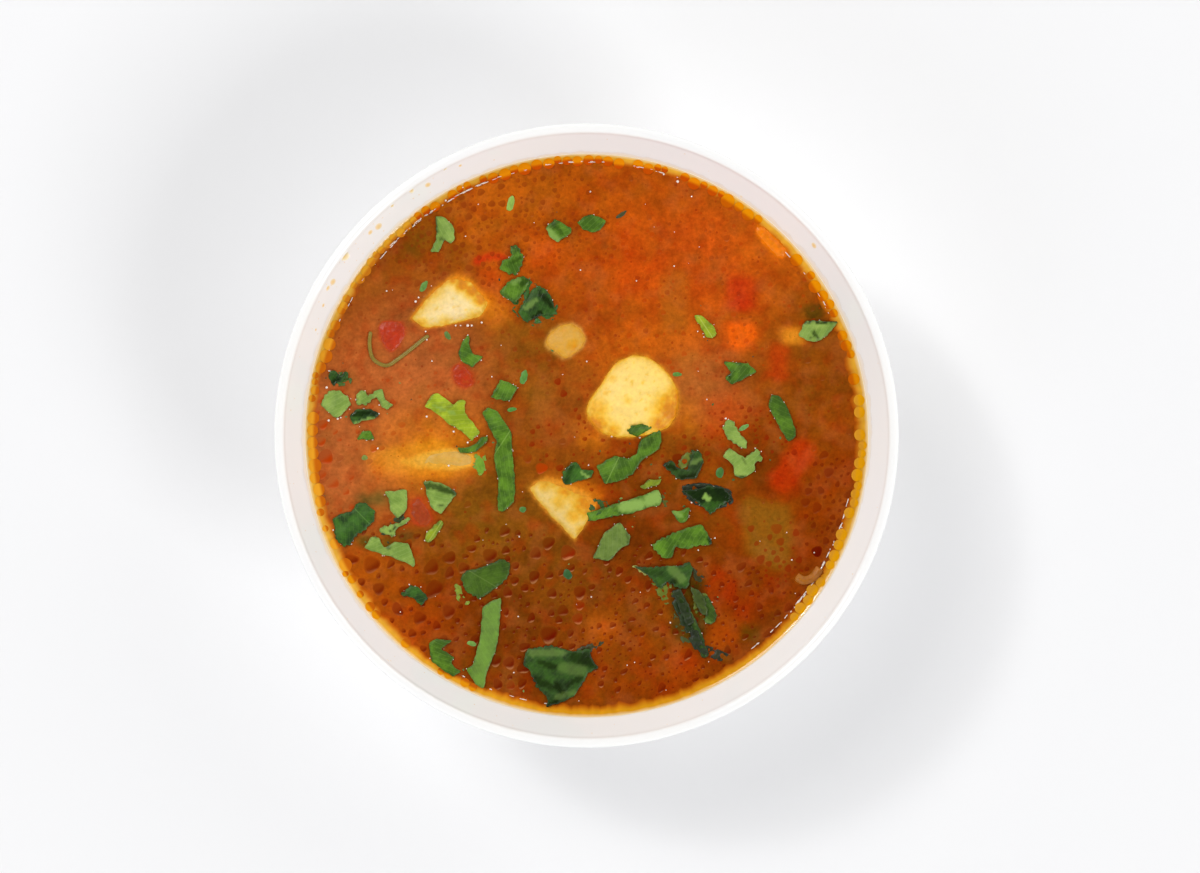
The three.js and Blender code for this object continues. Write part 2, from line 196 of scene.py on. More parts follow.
def seen_at(x, y):
    """Place in plan of a point of the photograph, taken at the level of the soup."""
    return np.array(((x - picture_centre[0]) * seen_pixel, (picture_centre[1] - y) * seen_pixel))


def lens(reach, height, sides, rings, stretch=1.0, turn=0.0):
    """Corners, faces and unit plan of a shallow dome on an oval foot, round the origin."""
    out = np.repeat(np.arange(1, rings + 1) / rings, sides)
    angle = np.tile(2 * math.pi * np.arange(sides) / sides, rings)
    u, v = out * np.cos(angle), out * np.sin(angle)
    x, y = u * reach * stretch, v * reach
    turned_x = x * math.cos(turn) - y * math.sin(turn)
    turned_y = x * math.sin(turn) + y * math.cos(turn)
    corners = np.vstack([(0, 0, height), np.stack([turned_x, turned_y, height * (1 - out * out)], axis=1)])
    plan = np.vstack([(0, 0), np.stack([out * np.cos(turn + angle), out * np.sin(turn + angle)], axis=1)])
    faces = [(0, 1 + i, 1 + (i + 1) % sides) for i in range(sides)]
    for k in range(rings - 1):
        inside, outside = 1 + k * sides, 1 + (k + 1) * sides
        for i in range(sides):
            j = (i + 1) % sides
            faces.append((inside + i, outside + i, outside + j, inside + j))
    return corners, faces, plan


class Heap:
    """Many small things joined into one mesh, with a linear colour at each corner."""

    def __init__(self):
        self.corners, self.faces, self.colours = [], [], []

    def put(self, corners, faces, colours):
        """Adds one thing, in one colour or with a colour for each of its corners."""
        start = len(self.corners)
        self.corners.extend(corners)
        self.faces.extend([start + i for i in face] for face in faces)
        self.colours.extend(np.broadcast_to(colours, (len(corners), 3)))

    def piece(self, name, finish, slot, *nodes):
        """The whole heap as one piece of the object."""
        piece = new_piece(name, self.corners, self.faces, finish, slot, *nodes)
        tint(piece, self.colours)
        return piece


def tint(piece, colours):
    """Stores a linear colour at each corner of a piece, for its material to read."""
    layer = piece.data.color_attributes.new("tone", "FLOAT_COLOR", "POINT")
    values = np.ones((len(colours), 4), dtype=np.float32)
    values[:, :3] = colours
    layer.data.foreach_set("color", values.ravel())


def on_wall(corners, radius, angle):
    """Lays corners made round the origin on the inner wall, at that radius and angle."""
    height = np.interp(radius, inner_wall[:, 0], inner_wall[:, 1])
    climb = (np.interp(radius + mm, inner_wall[:, 0], inner_wall[:, 1]) - height) / mm
    out = np.array((math.cos(angle), math.sin(angle), 0))
    up = (out + (0, 0, climb)) / math.hypot(1, climb)
    around = np.array((-math.sin(angle), math.cos(angle), 0))
    axes = np.stack([around, up, np.cross(up, around)])
    if axes[2][2] < 0:
        axes[2] *= -1
    return corners @ axes + out * radius + (0, 0, height)


def toned_finish(name, **settings):
    """A material that takes its colour from what is stored at the corners of its piece."""
    finish, tree, shader = new_finish(name, **settings)
    tone = add(tree, "VertexColor", {"layer_name": "tone"})
    tree.links.new(tone.outputs["Color"], shader.inputs["Base Color"])
    return finish


# Dried tomato and paprika oil on porcelain: thin, so a pale yellow-orange that is still glossy
splash_oil = toned_finish("dried_oil_splash", Roughness=0.2, IOR=1.47)

random.seed(11)
splashes = Heap()
for x, y, reach in splash_places:
    spot = seen_at(x, y)
    turn = random.uniform(0, math.pi)
    corners, faces, plan = lens(splash_spread * reach * mm, splash_height, 14, 3, 1.15, turn)
    thin = np.hypot(*plan.T)[:, None] ** 2
    tones = splash_middle * (1 - thin) + splash_edge * thin
    splashes.put(on_wall(corners, np.hypot(*spot), math.atan2(spot[1], spot[0])), faces, tones)
for _ in range(fine_splashes):
    lower_left, anywhere, upper_left = random.gauss(225, 28), random.uniform(0, 360), random.gauss(135, 25)
    angle = math.radians(random.choice((lower_left, anywhere, upper_left)))
    corners, faces, _ = lens(random.uniform(*fine_reach) * mm, fine_height, 8, 1)
    splashes.put(on_wall(corners, random.uniform(*splashed_radius) * mm, angle), faces, fine_colour)
splashes.piece("oil_splashes", splash_oil, "broth")


# Sunk vegetables. Diced carrot, tomato, onion, cabbage and wilted herb that hang just under the
# surface of the broth, boiled soft. Each is known by its outline from above and how deep it lies.
# One dark patch among them is painted shadow beside a leaf.
def worn_block(x0, x1, y0, y1):
    """Outline of a diced piece with round corners, between those sides of the picture."""
    outline = []
    for i in range(12):
        across, up = math.cos(math.pi * (i + 0.5) / 6), math.sin(math.pi * (i + 0.5) / 6)
        squarer = 0.53 / max(abs(across), abs(up)) ** 0.6
        outline.append((
            (x0 + x1) / 2 + squarer * (x1 - x0) * across,
            (y0 + y1) / 2 + squarer * (y1 - y0) * up,
        ))
    return outline


vegetable_colours = {
    "carrot": "#EA6A0A", "tomato": "#C21412", "tomato_flesh": "#D85A2C", "onion": "#C89048",
    "clear_onion": "#8C6A2C", "cabbage": "#8A7A28", "potato": "#F2C868", "herb": "#50500E",
    "dark_herb": "#241E06", "pale_flesh": "#DDA080",
    "soaked_potato": "#DCAA30", "pale_onion": "#B06C46",
}
potato_end = [
    (366, 463), (371, 450), (392, 446), (414, 441), (438, 437), (452, 444), (440, 462), (416, 470),
    (390, 474),
]
carrot_cube = [(723, 323), (741, 320), (757, 322), (761, 337), (747, 350), (728, 349)]
carrot_bar = [(818, 449), (798, 435), (780, 462), (767, 482), (786, 496), (803, 474)]
onion_square = [
    (742, 497), (766, 500), (790, 505), (793, 535), (792, 560), (780, 572), (760, 560), (745, 548),
]
tomato_curl = [(468, 262), (480, 254), (497, 251), (510, 255), (508, 262), (492, 260), (477, 266)]
sunk_vegetables = [
    # kind, depth of its top under the broth and thickness in mm, outline in the picture
    ("potato", 0.7, 5, worn_block(782, 806, 327, 344)),
    ("soaked_potato", 0.75, 4, potato_end),
    ("carrot", 0.4, 6, carrot_cube),
    ("tomato", 0.95, 5, carrot_bar),
    ("tomato", 2.8, 6, worn_block(706, 740, 563, 609)),
    ("tomato", 2.6, 5, worn_block(739, 760, 590, 613)),
    ("carrot", 3.2, 6, worn_block(612, 667, 256, 291)),
    ("carrot", 2.6, 5, worn_block(619, 641, 225, 253)),
    ("carrot", 2.4, 5, worn_block(532, 557, 238, 266)),
    ("carrot", 2.6, 6, worn_block(706, 747, 395, 439)),
    ("tomato", 1.6, 4, worn_block(669, 696, 657, 678)),
    ("tomato", 0.45, 5, worn_block(726, 757, 274, 311)),
    ("tomato", 1.1, 4, worn_block(768, 790, 344, 382)),
    ("tomato", 0.3, 3, tomato_curl),
    ("tomato", 0.9, 3, worn_block(402, 436, 494, 526)),
    ("tomato_flesh", 1.6, 4, worn_block(478, 508, 262, 302)),
    ("pale_flesh", 1.5, 4, worn_block(586, 618, 618, 636)),
    ("pale_flesh", 1.9, 4, worn_block(709, 735, 626, 647)),
    ("clear_onion", 0.45, 1.5, onion_square),
    ("pale_onion", 0.9, 2, worn_block(676, 708, 352, 402)),
    ("pale_onion", 1.0, 2, worn_block(660, 689, 270, 332)),
    ("onion", 2.0, 2, worn_block(735, 759, 249, 266)),
    ("cabbage", 2.0, 2, worn_block(517, 552, 380, 418)),
    ("cabbage", 2.4, 2, worn_block(466, 510, 500, 560)),
    ("herb", 1.0, 1, worn_block(741, 760, 627, 640)),
    ("herb", 1.0, 1, worn_block(720, 732, 649, 659)),
    ("herb", 1.6, 2, worn_block(403, 427, 234, 257)),
    ("herb", 0.9, 1, worn_block(356, 378, 494, 505)),
    ("herb", 0.9, 1, worn_block(375, 388, 491, 505)),
    ("herb", 0.6, 1, worn_block(358, 371, 534, 546)),
    ("herb", 0.5, 1, worn_block(382, 393, 537, 548)),
    ("dark_herb", 0.7, 1, worn_block(399, 412, 531, 541)),
    # this dark patch beside a leaf is painted shadow, not a sunk herb
    ("dark_herb", 1.2, 1, worn_block(802, 824, 304, 319)),
    ("dark_herb", 1.0, 1, worn_block(672, 706, 574, 640)),
]


def anticlockwise(edge):
    """A closed edge in plan, turned so that it runs anticlockwise."""
    ahead = np.roll(edge, -1, axis=0)
    return edge if np.sum(edge[:, 0] * ahead[:, 1] - ahead[:, 0] * edge[:, 1]) > 0 else edge[::-1]


def pebble(outline, top, thickness):
    """Corners and faces of a soft-edged slab, with its top that deep under the soup's level."""
    edge = anticlockwise(smooth_curve([seen_at(x, y) for x, y in outline], 3, closed=True))
    middle = edge.mean(axis=0)
    # how wide each layer is, and how far down it lies as a share of the thickness
    layers = [(0.72, 0), (0.94, 0.1), (1, 0.4), (0.94, 0.75), (0.7, 1)]
    corners = [(*middle, soup_level - top), (*middle, soup_level - top - thickness)]
    for spread, share in layers:
        corners += [(*(middle + spread * (p - middle)), soup_level - top - share * thickness) for p in edge]
    count = len(edge)
    faces = []
    for i in range(count):
        j = (i + 1) % count
        faces.append((0, 2 + i, 2 + j))
        for k in range(len(layers) - 1):
            upper, lower = 2 + k * count, 2 + (k + 1) * count
            faces.append((upper + i, lower + i, lower + j, upper + j))
        last = 2 + (len(layers) - 1) * count
        faces.append((1, last + j, last + i))
    return corners, faces


# Boiled vegetable: soft, wet and a little see-through, in the colour that each kind keeps in the pot
boiled_vegetable = toned_finish("boiled_vegetable", Roughness=0.35, IOR=1.4)

sunk = Heap()
for kind, top, thickness, outline in sunk_vegetables:
    sunk.put(*pebble(outline, top * mm, thickness * mm), linear(vegetable_colours[kind]))
sunk.piece("sunk_vegetables", boiled_vegetable, "carrot")


# Potato chunks. Knife-cut blocks of floury potato, boiled until their edges wore round, that stand
# out of the broth by two or three millimetres. Red oil soaks in along their waterline.
def softened(name, node, finish, slot, voxel, passes, swell, relief, grain):
    """Copies a CAD solid, makes its faces fine and even, wears its edges and roughens its skin."""
    piece = new_piece(name, [], [], finish, slot, node)
    piece.data = frame["nodes"][node].data.copy()
    piece.data.name = name
    remesh = piece.modifiers.new("even_faces", "REMESH")
    remesh.mode = "VOXEL"
    remesh.voxel_size = voxel
    wear = piece.modifiers.new("worn_edges", "SMOOTH")
    wear.factor = 0.5
    wear.iterations = passes
    bpy.context.view_layer.update()
    worn = piece.evaluated_get(bpy.context.evaluated_depsgraph_get())
    mesh = bpy.data.meshes.new_from_object(worn)
    piece.modifiers.clear()
    piece.data = mesh
    mesh.name = name
    mesh.materials.clear()
    mesh.materials.append(finish)
    for corner, normal in zip(mesh.vertices, [v.normal.copy() for v in mesh.vertices]):
        rough = noise.fractal(corner.co / grain, 0.6, 2.0, 3)
        corner.co += normal * (swell + relief * rough)
    mesh.shade_smooth()
    return piece


def places_of(piece):
    """The corners of a piece's mesh as an array."""
    values = np.empty(3 * len(piece.data.vertices))
    piece.data.vertices.foreach_get("co", values)
    return values.reshape(-1, 3)


def soaked(piece, flesh, oil, blotches, soak, specks):
    """Colours a piece: its flesh, tinted by oil towards the waterline, in the blotches and in specks.
    A blotch can also stand for painted shade.
    """
    points = places_of(piece)
    share = 0.9 * np.exp(-np.maximum(points[:, 2] - soup_level, 0) / soak)
    for x, y, reach, strength in blotches:
        away = np.hypot(*(points[:, :2] - seen_at(x, y)).T) / (reach * seen_pixel)
        share = np.maximum(share, strength * np.exp(-away**2))
    rough = np.array([noise.noise(Vector(p) / (0.9 * mm)) for p in points])
    share = np.maximum(share * (1 + 0.5 * rough), specks * np.clip(3 * rough - 0.9, 0, 1))
    light = np.array([1 + 0.08 * noise.noise(Vector(p) / (2.4 * mm)) for p in points])[:, None]
    share = np.clip(share, 0, 1)[:, None]
    tint(piece, linear(flesh) ** (1 - share) * linear(oil) ** share * light)


# Boiled floury potato: pale yellow, mealy, lit from within for a couple of millimetres
boiled_potato, tree, shader = new_finish(
    "boiled_potato", Roughness=0.46, IOR=1.36, Subsurface_Weight=0.2, Subsurface_Scale=2.0 * mm,
)
shader.inputs["Subsurface Radius"].default_value = (1, 0.62, 0.3)
place = add(tree, "TexCoord").outputs["Object"]
flesh_tone = add(tree, "VertexColor", {"layer_name": "tone"})
meal = add(tree, "TexNoise", {"Scale": 1 / (0.9 * mm), "Detail": 3.0, "Roughness": 0.6}, {"Vector": place})
meal_light = add(tree, "MapRange", {1: 0.35, 2: 0.7, 3: 1.03, 4: 0.9}, {0: meal.outputs["Fac"]})
mealy = add(tree, "VectorMath", {"operation": "SCALE"},
            {0: flesh_tone.outputs["Color"], "Scale": meal_light.outputs[0]})
pits = add(tree, "Bump", {"Strength": 0.22, "Distance": 0.15 * mm}, {"Height": meal.outputs["Fac"]})
tree.links.new(mealy.outputs[0], shader.inputs["Base Color"])
tree.links.new(pits.outputs["Normal"], shader.inputs["Normal"])

potato_oil = "#DC8804"
potato_voxel = 0.4 * mm
potato_passes = 5
potato_swell = 0.15 * mm
potato_relief = 0.16 * mm
potato_grain = 2.2 * mm
potato_specks = 0.2
potatoes = {
    # node: its flesh, the same flesh seen through the broth, how high oil soaks up from the waterline
    # in mm, and its blotches: x, y, reach, strength
    "potato_dome": ("#FFDA7E", "#E6A838", 0.8, [
        (673, 411, 15, 1.2), (680, 396, 11, 1.1), (660, 424, 9, 1), (594, 426, 12, 1.2),
        (640, 435, 10, 0.6), (612, 378, 5, 0.25), (628, 400, 4, 0.2), (667, 400, 7, 0.8),
        # the last blotch on the next line, at the dome's lower edge beside a leaf, is painted shade
        (606, 393, 3, 0.3), (597, 408, 10, 0.5), (612, 431, 8, 0.6),
    ]),
    "potato_triangle": ("#F4DAA0", "#E09424", 0.5, [
        (478, 321, 9, 0.8), (446, 325, 7, 0.5), (492, 303, 10, 0.8), (420, 325, 8, 0.6),
        (454, 277, 7, 1.1), (463, 284, 7, 1.3), (473, 290, 7, 1.3), (482, 298, 7, 1.3),
        (433, 292, 5, 0.4), (419, 308, 5, 0.4),
    ]),
    "potato_wedge": ("#E8C880", "#DC9A38", 0.45, [
        (588, 502, 14, 1), (566, 489, 9, 0.8), (545, 483, 7, 0.6), (574, 515, 7, 0.5),
        (582, 530, 6, 0.5), (560, 501, 8, 0.35),
    ]),
    "potato_sunk": ("#D8A850", "#E4AE48", 0.04, [(448, 455, 8, 0.1), (440, 462, 8, 0.15)]),
    "potato_bit": ("#D8A860", "#E8B860", 0.6, [(562, 330, 7, 0.4), (574, 346, 8, 0.6), (557, 352, 6, 0.5)]),
}
floating = []
for node, (flesh, flesh_below, soak, blotches) in potatoes.items():
    chunk = softened(
        node + "_chunk", node, boiled_potato, "potato", potato_voxel, potato_passes, potato_swell,
        potato_relief, potato_grain,
    )
    soaked(chunk, flesh, potato_oil, blotches, soak * mm, potato_specks)
    floating.append((chunk, flesh_below))


# Tomato, carrot and onion that break the surface. Soft scraps of skinned tomato, the end of a carrot
# stick against the wall and a curl of onion, all cooked through and shiny with oil.
wet_vegetable, tree, shader = new_finish(
    "wet_cooked_vegetable", Roughness=0.34, IOR=1.34, Subsurface_Weight=0.15, Subsurface_Scale=1.5 * mm,
)
shader.inputs["Subsurface Radius"].default_value = (1, 0.35, 0.2)
place = add(tree, "TexCoord").outputs["Object"]
pulp = add(tree, "TexNoise", {"Scale": 1 / (1.3 * mm), "Detail": 3.0}, {"Vector": place})
pulp_share = add(tree, "MapRange", {1: 0.3, 2: 0.7, 3: 0.84, 4: 1.08}, {0: pulp.outputs["Fac"]})
pulp_tone = add(tree, "VertexColor", {"layer_name": "tone"})
pulpy = add(tree, "VectorMath", {"operation": "SCALE"},
            {0: pulp_tone.outputs["Color"], "Scale": pulp_share.outputs[0]})
fibres = add(tree, "Bump", {"Strength": 0.3, "Distance": 0.25 * mm}, {"Height": pulp.outputs["Fac"]})
tree.links.new(pulpy.outputs[0], shader.inputs["Base Color"])
tree.links.new(fibres.outputs["Normal"], shader.inputs["Normal"])

scrap_voxel = 0.22 * mm
scrap_passes = 4
scrap_relief = 0.1 * mm
scrap_grain = 1.4 * mm
scraps = {
    # node: slot, flesh, colour at the waterline, how high that reaches, how specked, swell in mm
    "tomato_upper": ("tomato", "#BC341C", "#B44C14", 0.4, 0.8, 0.08),
    "tomato_middle": ("tomato", "#B62E14", "#B24C14", 0.4, 0.8, 0.08),
    "tomato_lower": ("tomato", "#A83C20", "#A04614", 0.4, 0.7, 0.08),
    "carrot_stick": ("carrot", "#F88406", "#EE7404", 0.15, 0, 0.22),
    "onion_curl": ("onion", "#B06A1C", "#A05810", 0.3, 0, 0.08),
}
for node, (slot, flesh, oil, soak, specks, swell) in scraps.items():
    scrap = softened(
        node + "_scrap", node, wet_vegetable, slot, scrap_voxel, scrap_passes, swell * mm, scrap_relief,
        scrap_grain,
    )
    soaked(scrap, flesh, oil, [], soak * mm, specks)
    floating.append((scrap, flesh))


# Broth. Cloudy sour soup of tomato and stock, under a thin film of red oil. It can't be seen through
# for more than a few millimetres, so what hangs in it shows as soft patches that turn redder with depth.
grid_rings = 128
broth_edge = 0.06 * mm
side_depths = [51, 48, 44, 39, 33, 27, 21, 16, 12.5]
edge_radius = float(np.interp(soup_level + meniscus_rise, inner_wall[:, 1], inner_wall[:, 0])) + broth_edge
clear_depth = np.array((2.6, 0.85, 0.35)) * mm
skin_of_oil = 0.18 * mm
meniscus_reach = 0.9 * mm
scrap_rise = 0.22 * mm
scrap_reach = 0.6 * mm
broth_wave = 0.03 * mm
wave_length = 7 * mm
wet_margin = 0.05 * mm

broth_tones = {
    "base": "#984A0A", "orange": "#B25408", "bright": "#CA6410", "red": "#BC480C", "brown": "#844208",
    "dark": "#662A03", "olive": "#784C0E", "rust": "#903601", "tan": "#B05A1E", "glow": "#DA7A10",
    "pink": "#B86230", "scarlet": "#D24A12",
}
clouds = [
    # tone, middle x, y and reach in the picture, strength
    ("orange", 600, 190, 60, 1.0), ("bright", 480, 192, 35, 1.0), ("bright", 745, 218, 45, 1.4),
    ("red", 690, 255, 55, 1.2), ("red", 610, 270, 50, 1.0), ("olive", 535, 335, 28, 1.2),
    ("pink", 415, 370, 42, 1.1), ("pink", 345, 445, 42, 2.0), ("orange", 355, 600, 35, 1.0),
    ("dark", 520, 620, 48, 1.7), ("brown", 590, 620, 45, 1.2), ("rust", 780, 600, 55, 1.7),
    ("dark", 645, 545, 38, 1.9), ("brown", 700, 440, 38, 1.1), ("brown", 812, 360, 35, 0.9),
    ("tan", 560, 400, 30, 0.5), ("brown", 545, 420, 30, 0.7), ("pink", 700, 385, 24, 1.1),
    ("rust", 640, 680, 45, 1.3), ("rust", 830, 500, 38, 1.4), ("dark", 765, 470, 24, 1.4),
    ("olive", 480, 520, 38, 1.6), ("bright", 655, 340, 38, 1.0), ("glow", 683, 414, 11, 2.2),
    ("glow", 591, 431, 8, 1.6), ("glow", 496, 310, 9, 1.6), ("rust", 450, 588, 28, 1.2),
    ("olive", 560, 585, 28, 1.0), ("glow", 436, 445, 20, 2.4), ("red", 395, 640, 30, 0.9),
    ("olive", 690, 610, 26, 0.8), ("brown", 425, 235, 30, 1.0), ("scarlet", 710, 246, 28, 1.5),
    ("dark", 745, 602, 34, 1.5), ("dark", 712, 586, 18, 1.2), ("dark", 806, 560, 26, 0.8),
    ("glow", 400, 452, 26, 0.9), ("tan", 848, 505, 8, 1.6), ("tan", 842, 533, 8, 1.6),
    ("tan", 831, 560, 8, 1.6), ("tan", 814, 588, 8, 1.6), ("tan", 794, 612, 8, 1.6),
    ("tan", 770, 634, 8, 1.4), ("tan", 742, 655, 8, 1.2),
]
base_weight = 0.35
cloudiness, cloud_size = 0.18, 9 * mm
curdling, curd_size = 0.22, 2.4 * mm
broth_mottles = [
    # colour, size of its patches in mm, seed of their noise, and the most that they cover
    ("#B8602A", 5, 12.4, 0.26), ("#7C5A12", 6, 21.7, 0.14), ("#A02C04", 4, 33.3, 0.34),
]
blur_steps = (0.7, 1.6, 3.6)
depth_bands = (0.6 * mm, 1.6 * mm)


def tree_of(pieces):
    """A search tree of several pieces, and the colour of each of its faces."""
    corners, faces, colours = [], [], []
    for points, polygons, colour in pieces:
        start = len(corners)
        corners += [tuple(p) for p in points]
        faces += [[start + i for i in polygon] for polygon in polygons]
        colours += [colour] * len(polygons)
    return BVHTree.FromPolygons(corners, faces), np.array(colours)


def polygons_of(piece):
    """The faces of a piece's mesh, each as its corners' numbers."""
    return [tuple(polygon.vertices) for polygon in piece.data.polygons]


below = [(places_of(p), polygons_of(p), linear(colour)) for p, colour in floating]
floating_tree, _ = tree_of(below)
down = Vector((0, 0, -1))
below += [
    (*pebble(outline, top * mm, thickness * mm), linear(vegetable_colours[kind]))
    for kind, top, thickness, outline in sunk_vegetables
]
below_tree, below_colours = tree_of(below)


def broth_height(x, y):
    """Level of the broth: flat, but it climbs the wall and, less, whatever stands in it."""
    climb = meniscus_rise * math.exp((math.hypot(x, y) - edge_radius) / meniscus_reach)
    near = floating_tree.find_nearest(Vector((x, y, soup_level)), 4 * scrap_reach)[3]
    if near is not None:
        share = math.exp(-near / scrap_reach)
        climb = climb * (1 - share) + scrap_rise * share
    return soup_level + climb + broth_wave * noise.noise(Vector((x, y, 0)) / wave_length)


def stands_out(x, y):
    """Whether a floating piece stands out of the broth there."""
    top = floating_tree.ray_cast(Vector((x, y, bowl_height)), down)[0]
    return top is not None and top.z > broth_height(x, y) - wet_margin


def blurred(field, spread):
    """A field on the broth's grid, blurred by that many grid steps."""
    reach = max(1, math.ceil(3 * spread))
    weights = np.exp(-0.5 * (np.arange(-reach, reach + 1) / spread) ** 2)
    weights /= weights.sum()
    for axis in (0, 1):
        field = np.apply_along_axis(lambda line: np.convolve(np.pad(line, reach, "edge"), weights, "valid"),
                                    axis, field)
    return field


def speckle(x, y, size, octaves=3, seed=0.0):
    """Fractal noise over the plan, with patches of that size."""
    return np.array([
        noise.fractal(Vector((a / size, b / size, seed)), 0.7, 2.0, octaves)
        for a, b in zip(x.ravel(), y.ravel())
    ]).reshape(x.shape)


def grid_plan():
    """Plan of a square grid wrapped to the broth's disc, so that its rings of cells are round."""
    line = np.linspace(-1, 1, 2 * grid_rings + 1)
    a, b = np.meshgrid(line, line, indexing="ij")
    wide = np.abs(a) > np.abs(b)
    radius = np.where(wide, a, b)
    other = np.where(wide, b, a)
    turn = math.pi / 4 * other / np.where(radius == 0, 1, radius)
    angle = np.where(wide, turn, math.pi / 2 - turn)
    return edge_radius * radius * np.cos(angle), edge_radius * radius * np.sin(angle)


plan_x, plan_y = grid_plan()
weight = np.full(plan_x.shape, base_weight)
broth_colour = weight[..., None] * linear(broth_tones["base"])
for tone, x, y, reach, strength in clouds:
    spot = seen_at(x, y)
    away = (plan_x - spot[0]) ** 2 + (plan_y - spot[1]) ** 2
    near = strength * np.exp(-away / (2 * (reach * seen_pixel) ** 2))
    weight += near
    broth_colour += near[..., None] * linear(broth_tones[tone])
broth_colour /= weight[..., None]
cloudy = speckle(plan_x, plan_y, cloud_size, 3, 3.1)
curdled = speckle(plan_x, plan_y, curd_size, 3, 7.7)
broth_colour *= (1 + cloudiness * cloudy + curdling * curdled)[..., None]
for tone, size, seed, most in broth_mottles:
    share = most * np.clip(1.6 * speckle(plan_x, plan_y, size * mm, 2, seed), 0, 1)[..., None]
    broth_colour = broth_colour * (1 - share) + share * linear(tone)

lit = np.zeros((len(blur_steps), *plan_x.shape, 3))
for i in range(plan_x.shape[0]):
    for j in range(plan_x.shape[1]):
        hit, _, face, _ = below_tree.ray_cast(Vector((plan_x[i, j], plan_y[i, j], bowl_height)), down)
        if hit is not None:
            depth = max(0.0, soup_level - hit.z) + skin_of_oil
            band = int(np.searchsorted(depth_bands, depth))
            lit[band, i, j] = np.exp(-depth / clear_depth) * (below_colours[face] - broth_colour[i, j])
for band, spread in enumerate(blur_steps):
    for channel in range(3):
        broth_colour[..., channel] += blurred(lit[band, ..., channel], spread)
broth_colour = np.clip(broth_colour, 0.0005, 1)

flat_x, flat_y = plan_x.ravel(), plan_y.ravel()
top = [(x, y, broth_height(x, y)) for x, y in zip(flat_x, flat_y)]
span = 2 * grid_rings + 1
quads = [
    (i * span + j, (i + 1) * span + j, (i + 1) * span + j + 1, i * span + j + 1)
    for i in range(span - 1) for j in range(span - 1)
]
ends = (0, span - 1)
shore = [k for k in range(span * span) if k // span in ends or k % span in ends]
shore.sort(key=lambda k: math.atan2(flat_y[k], flat_x[k]))
corners, faces, previous = top, quads, shore
broth_tone = [tuple(c) for c in broth_colour.reshape(-1, 3)]
for height in side_depths:
    height *= mm
    radius = float(np.interp(height, inner_wall[:, 1], inner_wall[:, 0])) + broth_edge
    ring = list(range(len(corners), len(corners) + len(shore)))
    for k in shore:
        angle = math.atan2(flat_y[k], flat_x[k])
        corners.append((radius * math.cos(angle), radius * math.sin(angle), height))
    count = len(ring)
    faces += [(previous[i], ring[i], ring[(i + 1) % count], previous[(i + 1) % count]) for i in range(count)]
    previous = ring
bottom = len(corners)
corners.append((0, 0, inner_wall[0][1] - broth_edge))
faces += [(previous[i], bottom, previous[(i + 1) % len(previous)]) for i in range(len(previous))]
broth_tone += [tuple(linear(broth_tones["base"]))] * (len(corners) - len(broth_tone))

# Tomato broth with a skin of oil: colour comes from the pulp hanging in it, and the skin is smooth as
# water, with pores and beads too small to model that break the light up a little
sour_broth, tree, shader = new_finish("sour_tomato_broth", Roughness=0.13, IOR=1.36)
place = add(tree, "TexCoord").outputs["Object"]
local_tone = add(tree, "VertexColor", {"layer_name": "tone"})
fine_pulp = add(tree, "TexNoise", {"Scale": 1 / (0.9 * mm), "Detail": 2.0, "Roughness": 0.55},
                {"Vector": place})
pulp_light = add(tree, "MapRange", {1: 0.3, 2: 0.7, 3: 0.86, 4: 1.14}, {0: fine_pulp.outputs["Fac"]})
cloudy_tone = add(tree, "VectorMath", {"operation": "SCALE"},
                  {0: local_tone.outputs["Color"], "Scale": pulp_light.outputs[0]})
beads = add(tree, "TexVoronoi", {"Scale": 1 / (1.1 * mm)}, {"Vector": place})
bead_round = add(tree, "MapRange", {1: 0.0, 2: 0.34, 3: 1.0, 4: 0.0}, {0: beads.outputs["Distance"]})
oily_skin = add(tree, "Bump", {"Strength": 0.15, "Distance": 0.12 * mm}, {"Height": bead_round.outputs[0]})
tree.links.new(cloudy_tone.outputs[0], shader.inputs["Base Color"])
tree.links.new(oily_skin.outputs["Normal"], shader.inputs["Normal"])

broth = new_piece("broth", corners, faces, sour_broth, "broth", "soup")
tint(broth, broth_tone)
